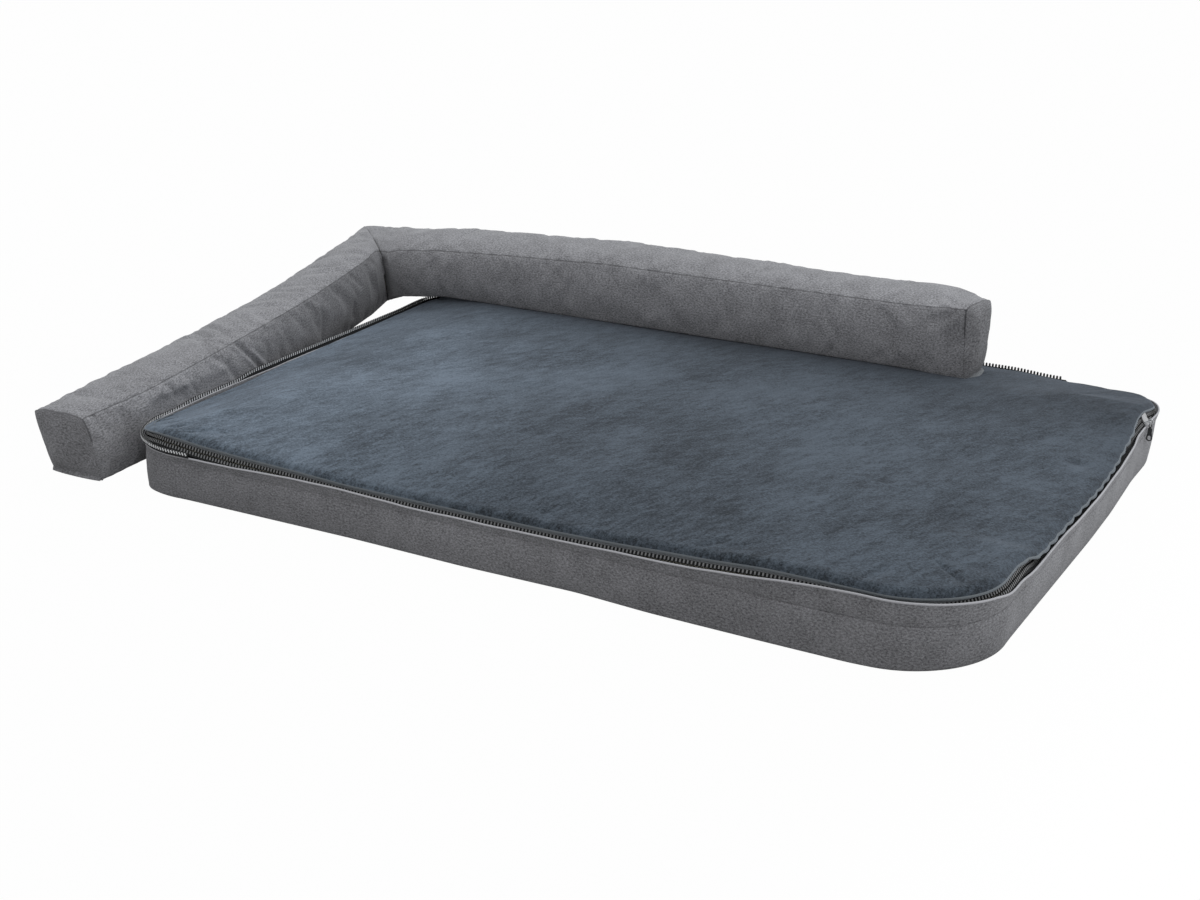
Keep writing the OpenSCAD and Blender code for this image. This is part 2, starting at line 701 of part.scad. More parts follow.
module back_fill() {
    arm_fill(back_stops, 1, right_way);
}

module left_top_panel() {
    color(heather_colour) face_panel(left_stops, "top", top_steps);
}

module left_inner_panel() {
    color(heather_colour) face_panel(left_stops, "inner", side_steps);
}

module left_outer_panel() {
    color(heather_colour) face_panel(left_stops, "outer", side_steps);
}

module left_base_panel() {
    color(heather_colour) face_panel(left_stops, "base", base_steps);
}

module back_top_panel() {
    color(heather_colour) face_panel(back_stops, "top", top_steps);
}

module back_inner_panel() {
    color(heather_colour) face_panel(back_stops, "inner", side_steps);
}

module back_outer_panel() {
    color(heather_colour) face_panel(back_stops, "outer", side_steps);
}

module back_base_panel() {
    color(heather_colour) face_panel(back_stops, "base", base_steps);
}

module left_end_cap() {
    end_cap(left_stops[0], left_way);
}

module right_end_cap() {
    end_cap(back_stops[len(back_stops) - 1], right_way);
}

// The bolster's half of its zip lies out from the lower outer seam of both arms
zip_foot = 0.2;
tape_start = 0.6;
hem_stops = concat(left_stops, [for (i = [1:len(back_stops) - 1]) back_stops[i]]);

module hem_strip(stops, out0, out1, up0, up1) {
    corners = [[out0, up0], [out1, up0], [out1, up1], [out0, up1]];
    points = [for (s = stops) for (c = corners)
        s[0] + (s[3] / 2 + skin + c[0]) * s[1] + (c[1] - skin) * [0, 0, 1]];
    last = 4 * (len(stops) - 1);
    polyhedron(points, flipped(concat(
        [for (k = [0:len(stops) - 2]) each ring_faces(4 * k, 4 * (k + 1), 4)],
        [[0, 1, 2], [0, 2, 3], [last + 2, last + 1, last], [last + 3, last + 2, last]])),
        convexity = 8);
}

hem_middle = zip_foot + teeth_half;
teeth_start = tape_start + tape_width;

module bolster_zip_tape() {
    color(tape_colour)
    hem_strip(hem_stops, tape_start, teeth_start, hem_middle - tape_half, hem_middle + tape_half);
}

module bolster_zip_teeth() {
    count = len(hem_stops);
    color(teeth_colour)
    hem_strip([for (i = [0:count - 3]) hem_stops[i]], teeth_start, teeth_start + tooth_width,
              zip_foot, zip_foot + tooth_thickness);
}

// Box of the separating zip, where the bolster's teeth end
box_stop = hem_stops[len(hem_stops) - 3];
hem_y = box_stop[0].y + box_stop[3] / 2 + skin;

module bolster_zip_box() {
    color(black_colour)
    translate([box_stop[0].x + tiny, hem_y + teeth_start, rest_height + zip_foot])
    cube([box_length, 2 * row_far, tooth_thickness]);
}

// The bolster's slider waits by the box; its one-piece tab lies flat along the zip
bolster_slider_x = arm_end_x - end_taper - slider_length / 2 - 5;
bolster_slider_y = arm_y + fill_width / 2 + skin + teeth_start + row_far;
bolster_slider_z = rest_height + hem_middle;
low_bail = 3.2;
bar_radius = 0.7;
bar_z = bolster_slider_z + slider_half + 1.35;

module bolster_slider() {
    color(metal_colour)
    translate([bolster_slider_x, bolster_slider_y, bolster_slider_z])
    rotate([0, 0, -90]) {
        slider_plates();
        bail(0, low_bail, bail_reach);
    }
}

module bolster_pull_tab() {
    slot_length = 6.4;
    slot_half = bail_rod + 1.1;
    arm_half = slot_half + 1.6;
    color(black_colour)
    translate([bolster_slider_x, bolster_slider_y, bar_z]) {
        rotate([90, 0, 0]) cylinder(h = 2 * arm_half, r = bar_radius, center = true, $fn = 32);
        translate([0, 0, -bar_radius])
        linear_extrude(2 * bar_radius)
        difference() {
            union() {
                translate([-slot_length - bar_radius - 1, -arm_half])
                square([slot_length + bar_radius + 1, 2 * arm_half]);
                translate([-tab_length, -tab_width / 2 + 0.4])
                square([tab_length - slot_length, tab_width - 0.8]);
                translate([-tab_length, 0]) circle(tab_width / 2, $fn = 48);
            }
            translate([-slot_length - bar_radius, -slot_half])
            square([slot_length + 2 * bar_radius, 2 * slot_half]);
            translate([-tab_length, 0]) circle(tab_hole / 2, $fn = 48);
        }
    }
}

base_panel();
foam_core();
side_band();
zip_facing();
plush_lid();
lid_zip_tape();
base_zip_tape();
lid_zip_teeth();
base_zip_teeth();
main_zip_stops();
comb_tape();
comb_teeth();
comb_pin();
main_slider();
main_pull_link();
main_pull_ring();
main_pull_tab();
left_fill();
back_fill();
left_top_panel();
left_inner_panel();
left_outer_panel();
left_base_panel();
back_top_panel();
back_inner_panel();
back_outer_panel();
back_base_panel();
left_end_cap();
right_end_cap();
bolster_zip_tape();
bolster_zip_teeth();
bolster_zip_box();
bolster_slider();
bolster_pull_tab();
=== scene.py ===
"""Dresses a dog mattress, its zips and its loose L-shaped bolster in cloth, plush and metal."""
from math import cos, floor, hypot, pi, radians, sin

import bmesh
import bpy
import numpy as np
from mathutils import Matrix, Vector, noise


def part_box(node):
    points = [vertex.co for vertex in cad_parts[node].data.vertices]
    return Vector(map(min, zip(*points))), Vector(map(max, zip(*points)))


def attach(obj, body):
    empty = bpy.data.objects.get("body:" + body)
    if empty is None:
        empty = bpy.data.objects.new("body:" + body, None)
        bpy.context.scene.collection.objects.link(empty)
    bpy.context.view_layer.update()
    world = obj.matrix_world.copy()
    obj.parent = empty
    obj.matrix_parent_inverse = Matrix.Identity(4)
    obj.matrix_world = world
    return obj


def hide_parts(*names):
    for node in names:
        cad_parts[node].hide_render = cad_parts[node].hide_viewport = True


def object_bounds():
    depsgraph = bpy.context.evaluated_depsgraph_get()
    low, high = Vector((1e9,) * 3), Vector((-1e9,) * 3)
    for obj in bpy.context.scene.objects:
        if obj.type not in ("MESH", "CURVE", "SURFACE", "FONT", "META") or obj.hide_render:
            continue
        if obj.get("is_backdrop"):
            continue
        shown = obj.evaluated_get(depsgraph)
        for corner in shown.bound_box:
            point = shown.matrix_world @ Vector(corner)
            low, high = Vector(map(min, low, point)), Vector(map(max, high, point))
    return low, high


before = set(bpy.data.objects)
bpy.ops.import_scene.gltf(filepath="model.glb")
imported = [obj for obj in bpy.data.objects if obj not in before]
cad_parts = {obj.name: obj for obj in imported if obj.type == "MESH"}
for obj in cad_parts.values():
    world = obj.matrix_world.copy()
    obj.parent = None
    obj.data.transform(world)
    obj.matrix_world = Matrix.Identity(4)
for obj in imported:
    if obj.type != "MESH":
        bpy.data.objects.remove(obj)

bl_info = {
    "name": "Dog Mattress and Bolster",
    "version": (1, 0, 0),
    "blender": (4, 5, 0),
    "location": "3D View > Sidebar > Dog Mattress",
    "description": "Dresses the mattress, its zips and its bolster in cloth, plush and metal",
    "category": "Add Mesh",
}

MM = 0.001
CAD_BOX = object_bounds()
BAND_LOW, BAND_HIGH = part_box("side_band")
HALF_LENGTH = (BAND_HIGH[0] - BAND_LOW[0]) / 2 / MM
HALF_DEPTH = (BAND_HIGH[1] - BAND_LOW[1]) / 2 / MM
BAND_TOP = BAND_HIGH[2] / MM

# All sizes below are in millimetres. An edge profile is (outward, up) from the mattress's
# outline, and a place on the rim is the run along the outline from the front left corner.
CORNER_RADIUS = 95
INNER_RADIUS = 5
CORNER_START = (270, 0, 90, 180)
CORNER_SIDE = ((1, -1), (1, 1), (-1, 1), (-1, -1))
QUARTER = CORNER_RADIUS * pi / 2
LONG_RUN = 2 * (HALF_LENGTH - CORNER_RADIUS)
SHORT_RUN = 2 * (HALF_DEPTH - CORNER_RADIUS)
RIM_RUNS = ((True, 3, QUARTER), (False, 3, LONG_RUN), (True, 0, QUARTER), (False, 0, SHORT_RUN),
            (True, 1, QUARTER), (False, 1, LONG_RUN), (True, 2, QUARTER), (False, 2, SHORT_RUN))
PERIMETER = sum(run for _, _, run in RIM_RUNS)
FRONT_START = QUARTER
RIGHT_START = 2 * QUARTER + LONG_RUN
BACK_START = 3 * QUARTER + LONG_RUN + SHORT_RUN
LEFT_START = PERIMETER - SHORT_RUN

ZIP_LEAN = radians(30)
ZIP_INSET = 4.5
ZIP_HEIGHT = 59.0
TAPE_HALF = 0.4
LID_THICKNESS = 2.5
LID_TO_FOAM = 4.4
LID_ROLL = 12
ROLL_START = 24
LID_SEAM = 7.3
EDGE_SHIFT = 3.7
SEWN_FADE = 76
COMB_FACE = 0.9
COMB_FOOT = 57.52
TOOTH_PITCH = 4.0
CLOTH = 1.2

# Values of the attribute "edge", which otherwise holds a point's distance from a sewn edge
PLAIN = 50.0
# Points on the facing's fold, which the cloth paints lighter as a painted highlight
ON_FOLD_HIGHLIGHT = 100.0
ON_SELVEDGE = 700.0


def clamp(x, low=0.0, high=1.0):
    """A value kept between two limits."""
    return min(high, max(low, x))


def smooth(x):
    """A share between 0 and 1 that starts and ends softly."""
    c = clamp(x)
    return c * c * (3 - 2 * c)


def mix(a, b, t):
    """The value at a share of the way from one to another."""
    return a + (b - a) * t


def bell(x):
    """One at 0, and falling softly to none on both sides."""
    return 2.718 ** -(x ** 2)


def unit(vector):
    """A vector of length 1 that points the same way."""
    return vector / np.linalg.norm(vector)


def on_zip(along, out):
    """A point of the edge profile, along the leaning plane of the zip and out of it."""
    return np.array((-ZIP_INSET - along * sin(ZIP_LEAN) + out * cos(ZIP_LEAN),
                     ZIP_HEIGHT + along * cos(ZIP_LEAN) + out * sin(ZIP_LEAN)))


ROLL_MIDDLE = on_zip(LID_SEAM, LID_THICKNESS + TAPE_HALF + 0.1) - LID_ROLL * np.array(
    (cos(radians(ROLL_START)), sin(radians(ROLL_START))))
ROLL_INSET = -ROLL_MIDDLE[0]
ROLL_TOP = ROLL_MIDDLE[1] + LID_ROLL
LID_SEAM_HEIGHT = on_zip(LID_SEAM, 0)[1]
CROWN_REACH = HALF_DEPTH - 15


# ---- Places on the mattress's rim


def corner_point(k, angle, inset):
    """Point and outward direction at an angle round one of the rim's corners."""
    radius = max(CORNER_RADIUS - inset, INNER_RADIUS)
    turn = radians(CORNER_START[k] + angle)
    side = CORNER_SIDE[k]
    return (side[0] * (HALF_LENGTH - inset - radius) + radius * cos(turn),
            side[1] * (HALF_DEPTH - inset - radius) + radius * sin(turn), cos(turn), sin(turn))


def rim_place(run, inset):
    """Point and outward direction at a run along the rim, moved in by an inset."""
    run %= PERIMETER
    for is_corner, k, length in RIM_RUNS:
        if run <= length:
            break
        run -= length
    if is_corner:
        return corner_point(k, 90 * run / length, inset)
    a, b = corner_point(k, 90, inset), corner_point((k + 1) % 4, 0, inset)
    share = clamp(run / length)
    return mix(a[0], b[0], share), mix(a[1], b[1], share), a[2], a[3]


def rim_stations(start=0.0, end=PERIMETER, step=6.2):
    """Runs between two places on the rim, dense enough for the corners."""
    count = max(2, round((end - start) / step))
    return [start + (end - start) * i / count for i in range(count + 1)]


def beside_zip(run):
    """One along the main zip, falling to none along the sewn left and back edges."""
    run %= PERIMETER
    if BACK_START <= run < LEFT_START:
        return smooth(1 - (run - BACK_START) / SEWN_FADE)
    if run >= LEFT_START:
        return smooth(1 - (PERIMETER - run) / SEWN_FADE)
    return 1.0


def rim_table(*stops, blur=14):
    """A smooth closed curve of values through (run, value) stops round the rim."""
    runs = np.arange(0, PERIMETER, 2.0)
    values = np.interp(runs, [s[0] for s in stops], [s[1] for s in stops], period=PERIMETER)
    width = int(blur / 2)
    kernel = np.hanning(2 * width + 3)
    padded = np.concatenate((values[-width - 1:], values, values[:width + 1]))
    values = np.convolve(padded, kernel / kernel.sum(), mode="valid")
    return lambda run: float(np.interp(run % PERIMETER, runs, values, period=PERIMETER))


def front(x):
    """Rim run at an x along the front."""
    return FRONT_START + x + HALF_LENGTH - CORNER_RADIUS


def right(y):
    """Rim run at a y along the right side."""
    return RIGHT_START + y + HALF_DEPTH - CORNER_RADIUS


def back_corner(angle):
    """Rim run at an angle round the back right corner."""
    return RIGHT_START + SHORT_RUN + QUARTER * angle / 90


# The facing's top rises over the zip at the front right corner, and the facing bows outwards on
# the right side and at the back right corner. The band's foot isn't quite straight either
hem_height = rim_table(
    (0, 52.0), (100, 51.2), (150, 51.5), (185, 52.5), (front(-316), 53.0),
    (front(-239), 56.0), (front(-176), 55.6), (front(-100), 52.8), (front(-26), 53.2),
    (front(31), 53.2), (front(65), 53.9), (front(109), 54.4), (front(153), 55.5),
    (front(195), 55.6), (front(237), 57.2), (front(297), 61.7), (front(354), 66.2),
    (front(404), 67.2), (1012, 65.8), (1047, 63.6), (1080, 60.8), (1096, 57.0),
    (right(-254), 54.8), (right(-246), 54.4), (right(225), 54.4), (BACK_START - 60, 53.4),
    (BACK_START, 53.6), (BACK_START + 70, 55.5), (LEFT_START, 55.5), (PERIMETER - 70, 55.5),
    blur=12)
hem_bow = rim_table(
    (0, 0), (front(-300), 0.4), (front(-150), -0.6), (front(60), 0.5), (front(300), 0.6),
    (front(400), 0), (right(-222), 0), (right(-210), 2.9), (right(-183), 3.8),
    (right(-110), 4.9), (right(-60), 7.6), (right(5), 8.9), (right(97), 8.2), (right(175), 4.4),
    (right(208), 0.2), (right(236), 0), (back_corner(5), 0), (back_corner(13), 2.8),
    (back_corner(25), 11.2), (back_corner(35), 17.5), (back_corner(43), 21),
    (back_corner(50), 21), (back_corner(58), 12), (back_corner(70), 3), (back_corner(80), 0),
    (BACK_START + 200, 0), (LEFT_START, 0), blur=14)
foot_bow = rim_table(
    (0, -1), (30, -4), (60, -5.5), (80, -3), (100, 4.5), (115, 2.5), (front(-393), -0.6),
    (front(-167), -2.4), (front(-29), 0.4), (front(101), -1.8), (front(185), 4.0),
    (front(300), 6.0), (front(387), 6.6), (1012, 1.0), (1060, -1.0),
    (right(-246), -2.4), (right(-122), 0), (right(16), 2.8), (right(100), 2.8),
    (right(206), -0.4), (back_corner(10), 1), (back_corner(45), 6), (back_corner(75), 1),
    (BACK_START + 150, 0), (LEFT_START, 0), blur=16)
# The lid bulges over the right side and the back right corner. Its seam lies low along the
# front, on the right side and where it is sewn down, and its roll is flatter along the left
lid_spread = rim_table(
    (0, 3), (30, 4), (60, 5), (80, 5), (100, 3), (130, 1.5), (160, 0), (1012, 0),
    (RIGHT_START - 40, 3), (right(-252), 1), (right(-222), 1), (right(-183), 8.0),
    (right(-110), 9.0), (right(-60), 10.5), (right(5), 11.5), (right(97), 9.5),
    (right(180), 5.0), (right(222), 0), (back_corner(0), 0), (back_corner(12), 4.5),
    (back_corner(25), 13), (back_corner(41), 20.5), (back_corner(50), 22), (back_corner(56), 13),
    (back_corner(65), 4), (back_corner(72), 0), (BACK_START + 60, 0), (PERIMETER - 60, 0),
    blur=12)
seam_drop = rim_table(
    (0, 13.5), (28, 12), (48, 9), (60, 8.5), (80, 3.5), (100, -0.5), (125, -4), (150, -2.7),
    (180, 0.6), (front(-320), 3.5), (front(-228), 6.5), (front(-176), 9), (front(-100), 9.3),
    (front(-16), 9.3), (front(65), 9), (front(109), 8), (front(153), 6.8), (front(195), 4.6),
    (front(237), 3.2), (front(297), -0.6), (front(354), -0.6), (front(400), 0),
    (right(-205), 0), (right(-180), 5.5), (right(-60), 8), (right(5), 9.5), (right(97), 9),
    (right(180), 4.5), (right(215), 0.5), (right(228), 0), (back_corner(0), 0),
    (back_corner(40), 12), (BACK_START + 20, 12.5), (BACK_START + 75, 9), (LEFT_START, 9),
    (LEFT_START + 150, 10.5), (LEFT_START + 300, 11.5), (LEFT_START + 390, 14.5),
    (LEFT_START + 500, 14.5), blur=16)
roll_rise = rim_table(
    (0, 0.32), (40, 0.35), (75, 0.5), (110, 0.7), (150, 0.95), (200, 1), (BACK_START + 60, 1),
    (LEFT_START, 0.8), (LEFT_START + 300, 0.68), (PERIMETER - 120, 0.55), (PERIMETER - 50, 0.5),
    blur=16)


def ripple(run, inset, scale, seed):
    """Gentle waves from smooth noise, which close on themselves round the rim."""
    x, y, _, _ = rim_place(run, inset)
    return noise.noise(Vector((x / scale, y / scale, seed)))


# ---- Making pieces


def new_object(name, points, faces):
    """An object of points in millimetres and faces, whose normals all look outwards."""
    mesh = bpy.data.meshes.new(name)
    mesh.from_pydata((points * MM).tolist(), [], faces)
    shape = bmesh.new()
    shape.from_mesh(mesh)
    bmesh.ops.recalc_face_normals(shape, faces=shape.faces)
    shape.to_mesh(mesh)
    shape.free()
    obj = bpy.data.objects.new(name, mesh)
    bpy.context.collection.objects.link(obj)
    return obj


def make_piece(name, points, faces, finish, body, stands_for=(), uv=None, edge=None,
               sharp=40, weave=None):
    """A closed piece from points in millimetres, with its finish and its place on a body.

    uv holds a pair for each point, edge the distance of each point from a sewn edge, and the last
    argument how much lighter or darker the cloth is painted: painted light and shade for how light
    falls on the piece.
    """
    obj = new_object(name, np.asarray(points, dtype=float), faces)
    mesh = obj.data
    if uv is not None:
        uv = np.asarray(uv, dtype=float) * MM
        layer = mesh.uv_layers.new(name="cloth")
        loops = np.zeros(len(mesh.loops), dtype=np.int32)
        mesh.loops.foreach_get("vertex_index", loops)
        layer.data.foreach_set("uv", uv[loops].ravel())
    for key, values in (("edge", edge), ("weave", weave)):
        if values is not None:
            mesh.attributes.new(key, "FLOAT", "POINT").data.foreach_set(
                "value", np.asarray(values, dtype=float))
    mesh.shade_smooth()
    if sharp < 180:
        bpy.ops.object.select_all(action="DESELECT")
        obj.select_set(True)
        bpy.context.view_layer.objects.active = obj
        bpy.ops.object.shade_smooth_by_angle(angle=radians(sharp))
    mesh.materials.append(finish)
    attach(obj, body)
    if stands_for:
        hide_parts(*stands_for)
    return obj


def quad_strip(rows, columns, closed_rows=False, closed_columns=True):
    """Faces of a grid of points that is stored row by row."""
    faces = []
    for i in range(rows if closed_rows else rows - 1):
        for j in range(columns if closed_columns else columns - 1):
            a, b = i * columns, (i + 1) % rows * columns
            k = (j + 1) % columns
            faces.append((a + j, b + j, b + k, a + k))
    return faces


def fan(first, count, centre, turned=False):
    """Triangles between a ring of points, stored from first on, and a point in its middle."""
    faces = [(first + i, first + (i + 1) % count, centre) for i in range(count)]
    return [(b, a, c) for a, b, c in faces] if turned else faces


def tube_faces(rows, columns):
    """Faces of rings of points, closed at both ends by the two points stored after them."""
    return (quad_strip(rows, columns) + fan(0, columns, rows * columns, turned=True)
            + fan((rows - 1) * columns, columns, rows * columns + 1))


def strip_ends(count, total):
    """The two end faces of a strip of sections with so many points, out of a total."""
    return [tuple(range(count)), tuple(total - 1 - i for i in range(count))]


def inward_of(grid):
    """Unit directions into the cloth at the points of a panel's grid."""
    inward = np.cross(np.gradient(grid, axis=0), np.gradient(grid, axis=1))
    return inward / np.maximum(np.linalg.norm(inward, axis=2, keepdims=True), 1e-9)


def rim_strip(name, runs, profile, finish, stands_for, edge, closed=False, weave=None):
    """A strip whose closed profile of (outward, up) points is run along the rim."""
    points, uv, edges = [], [], []
    for run in runs:
        section = profile(run)
        travelled = 0.0
        for i, (out, up) in enumerate(section):
            x, y, _, _ = rim_place(run, -out)
            points.append((x, y, up))
            if i:
                travelled += hypot(out - section[i - 1][0], up - section[i - 1][1])
            uv.append((run, travelled))
            edges.append(edge(run, i, out, up))
    count = len(section)
    faces = quad_strip(len(runs), count, closed_rows=closed)
    if not closed:
        faces += strip_ends(count, len(points))
    if weave:
        weave = np.repeat([weave(run) for run in runs], count)
    return make_piece(name, points, faces, finish, "mattress", stands_for, uv, edges, 50,
                      weave)


def grid_shell(name, outer, thickness, finish, body, stands_for, uv, edge, weave=None):
    """A cloth panel: a grid of points given a thickness on its inner side, and closed."""
    rows, columns, _ = outer.shape
    inner = outer + inward_of(outer) * thickness
    count = rows * columns
    points = np.concatenate((outer.reshape(-1, 3), inner.reshape(-1, 3)))
    faces = quad_strip(rows, columns, closed_columns=False)
    faces += [tuple(v + count for v in reversed(f)) for f in faces]
    border = (list(range(columns))
              + [i * columns + columns - 1 for i in range(1, rows)]
              + [(rows - 1) * columns + j for j in range(columns - 2, -1, -1)]
              + [i * columns for i in range(rows - 2, 0, -1)])
    for a, b in zip(border, border[1:] + border[:1]):
        faces.append((a, b, b + count, a + count))
    uv = np.concatenate((uv.reshape(-1, 2),) * 2)
    edge = np.concatenate((edge.ravel(),) * 2)
    if weave is not None:
        weave = np.concatenate((weave.ravel(),) * 2)
    return make_piece(name, points, faces, finish, body, stands_for, uv, edge, 60, weave)


def model_tooth(length, reach, height, round_off):
    """One zip tooth, modelled at the origin as a block with rounded edges and a waisted neck."""
    bpy.ops.object.select_all(action="DESELECT")
    bpy.ops.mesh.primitive_cube_add(size=1, location=(0, 0, 0))
    tooth = bpy.context.object
    bpy.ops.object.mode_set(mode="EDIT")
    bpy.ops.mesh.select_all(action="SELECT")
    bpy.ops.transform.resize(value=(length, reach, height))
    bpy.ops.mesh.bevel(offset=round_off, segments=1, affect="EDGES")
    bpy.ops.object.mode_set(mode="OBJECT")
    for v in tooth.data.vertices:
        if v.co.y > 0:
            v.co.x *= 0.86
    points = np.array([v.co[:] for v in tooth.data.vertices])
    faces = [tuple(p.vertices) for p in tooth.data.polygons]
    bpy.data.objects.remove(tooth)
    return points, faces


def copy_row(name, tooth, places, finish, body, stands_for, painted_top_light=0.32, both=False,
             sharp=30):
    """Copies of one tooth, each at an origin with its own three directions.

    The teeth's outer faces are painted light as painted light from above, by a share given for all
    teeth or for each; both paints the inner faces light as well.
    """
    shape, shape_faces = tooth
    height = abs(shape[:, 2]) if both else shape[:, 2]
    painted_lit = np.outer(np.broadcast_to(painted_top_light, len(places)), height > shape[:, 2].max() - 0.05)
    points, faces = [], []
    for origin, along, across, out in places:
        base = len(points) * len(shape)
        points.append(np.array(origin) + shape[:, :1] * along + shape[:, 1:2] * across
                      + shape[:, 2:] * out)
        faces += [tuple(v + base for v in f) for f in shape_faces]
    return make_piece(name, np.concatenate(points), faces, finish, body, stands_for,
                      edge=painted_lit.ravel(), sharp=sharp)


def dress_node(node, finish, round_off=0.0):
    """Gives a CAD node its finish, and rounds its edges without changing its mesh."""
    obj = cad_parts[node]
    obj.data.materials.clear()
    obj.data.materials.append(finish)
    if round_off:
        weld = obj.modifiers.new("Weld", "WELD")
        weld.merge_threshold = 0.00002
        rounding = obj.modifiers.new("Rounded edges", "BEVEL")
        rounding.width = round_off * MM
        rounding.segments = 2
        rounding.limit_method = "ANGLE"
        rounding.angle_limit = radians(35)


# ---- Finishes


class Wire:
    """An output socket of a shader node that takes part in arithmetic."""

    def __init__(self, shader, socket):
        self.shader, self.socket = shader, socket

    def maths(self, operation, a, b=0.0, limit=False):
        return self.shader.node("ShaderNodeMath", {"operation": operation, "use_clamp": limit},
                                {0: a, 1: b})

    def __add__(self, other):
        return self.maths("ADD", self, other)

    def __radd__(self, other):
        return self.maths("ADD", other, self)

    def __sub__(self, other):
        return self.maths("SUBTRACT", self, other)

    def __rsub__(self, other):
        return self.maths("SUBTRACT", other, self)

    def __mul__(self, other):
        return self.maths("MULTIPLY", self, other)

    def __rmul__(self, other):
        return self.maths("MULTIPLY", other, self)

    def __truediv__(self, other):
        return self.maths("DIVIDE", self, other)

    def __pow__(self, other):
        return self.maths("POWER", self, other)

    def limited(self):
        """The value kept between 0 and 1."""
        return self.maths("ADD", self, 0.0, limit=True)

    def sine(self):
        return self.maths("SINE", self)


class Shader:
    """A material with one Principled surface and the nodes that feed it."""

    def __init__(self, name, **constants):
        self.material = bpy.data.materials.new(name)
        self.material.use_nodes = True
        self.tree = self.material.node_tree
        self.tree.nodes.clear()
        self.out = self.tree.nodes.new("ShaderNodeOutputMaterial")
        self.surface = self.tree.nodes.new("ShaderNodeBsdfPrincipled")
        self.tree.links.new(self.surface.outputs[0], self.out.inputs["Surface"])
        self.set(**constants)

    def set(self, **values):
        """Sets or links sockets of the surface, written as base_color for Base Color."""
        for key, value in values.items():
            name = " ".join(word.capitalize() for word in key.split("_"))
            self.feed(self.surface.inputs[name.replace("Ior", "IOR")], value)

    def feed(self, socket, value):
        """Links a wire to a socket, or sets its plain value."""
        if isinstance(value, Wire):
            self.tree.links.new(value.socket, socket)
        elif isinstance(value, (tuple, list)) and len(value) == 3 and socket.type == "RGBA":
            socket.default_value = (*value, 1.0)
        else:
            socket.default_value = value

    def node(self, kind, settings=(), sockets=(), output=0):
        """Adds a node and returns one of its outputs."""
        node = self.tree.nodes.new(kind)
        for key, value in dict(settings).items():
            if key == "stops":
                ramp = node.color_ramp
                while len(ramp.elements) < len(value):
                    ramp.elements.new(0.5)
                for element, (place, shade) in zip(ramp.elements, value):
                    element.position = place
                    element.color = (shade, shade, shade, 1)
            else:
                setattr(node, key, value)
        for key, value in dict(sockets).items():
            self.feed(node.inputs[key], value)
        return Wire(self, node.outputs[output])

    def object_place(self, scale=(1, 1, 1), turn=0.0):
        """Object coordinates, turned about Z and then scaled along the turned axes."""
        place = self.node("ShaderNodeTexCoord", output="Object")
        return self.node("ShaderNodeMapping", {"vector_type": "TEXTURE"}, {
            "Vector": place, "Rotation": (0, 0, radians(turn)),
            "Scale": tuple(1 / factor for factor in scale)})

    def object_axis(self, axis):
        place = self.node("ShaderNodeTexCoord", output="Object")
        return self.node("ShaderNodeSeparateXYZ", {}, {0: place}, output=axis)

    def cloth_place(self, scale=(1, 1, 1)):
        """Place on the flat cloth that a piece was cut from."""
        place = self.node("ShaderNodeUVMap", {"uv_map": "cloth"})
        return self.node("ShaderNodeMapping", {}, {"Vector": place, "Scale": scale})

    def noise(self, place, scale=1.0, detail=2.0, roughness=0.5):
        return self.node("ShaderNodeTexNoise", {}, {
            "Vector": place, "Scale": scale, "Detail": detail, "Roughness": roughness})

    def colour_mix(self, factor, a, b):
        node = self.tree.nodes.new("ShaderNodeMix")
        node.data_type = "RGBA"
        colours = [s for s in node.inputs if s.type == "RGBA"]
        self.feed(node.inputs[0], factor)
        self.feed(colours[0], a)
        self.feed(colours[1], b)
        return Wire(self, next(s for s in node.outputs if s.type == "RGBA"))

    def edge(self, name="edge"):
        return self.node("ShaderNodeAttribute", {"attribute_name": name}, output="Fac")

    def scaled(self, colour, factor):
        return self.node("ShaderNodeVectorMath", {"operation": "SCALE"},
                         {"Vector": colour, "Scale": factor})

    def bump(self, height, distance, strength=1.0):
        self.set(normal=self.node("ShaderNodeBump", {}, {
            "Height": height, "Distance": distance, "Strength": strength}))


def shade(colour, factor):
    """A colour made lighter or darker by a factor."""
    return tuple(clamp(c * factor) for c in colour)


def heather_cloth(colour):
    """Woven melange cloth with flecks and a dark line at its seams, partly painted shadow below
    the facing; each piece is painted lighter or darker as painted light and shade, with a painted
    highlight along the facing's fold.
    """
    s = Shader("heather_cloth", roughness=0.93, sheen_weight=0.12, sheen_roughness=0.6,
               specular_ior_level=0.25)
    flecks = s.noise(s.cloth_place((360, 560, 1)), 1.0, 2.0, 0.7)
    weft = s.noise(s.cloth_place((1500, 600, 1)), 1.0, 1.0, 0.5)
    blotches = s.noise(s.object_place(), 38.0, 3.0, 0.6)
    tone = (flecks * 2.2 + weft * 1.0 + blotches * 0.6 - 1.4).limited()
    cloth = s.colour_mix(tone, shade(colour, 0.40), shade(colour, 1.60))
    # Painted light and shade: each piece's cloth is scaled lighter or darker by a value that it
    # carries
    cloth = s.scaled(cloth, s.edge("weave") + 1.0)
    line = (1.0 - s.edge() / 1.5).limited()
    # Painted highlight along the top of the facing's fold
    fold = ((s.edge() - 75.0) / 20.0).limited()
    cloth = s.colour_mix(fold * 0.8, cloth, shade(colour, 2.2))
    s.set(base_color=s.colour_mix(line * 0.72, cloth, shade(colour, 0.16)))
    s.bump(flecks * 0.5 + weft * 0.5, 0.0004, 0.5)
    return s.material


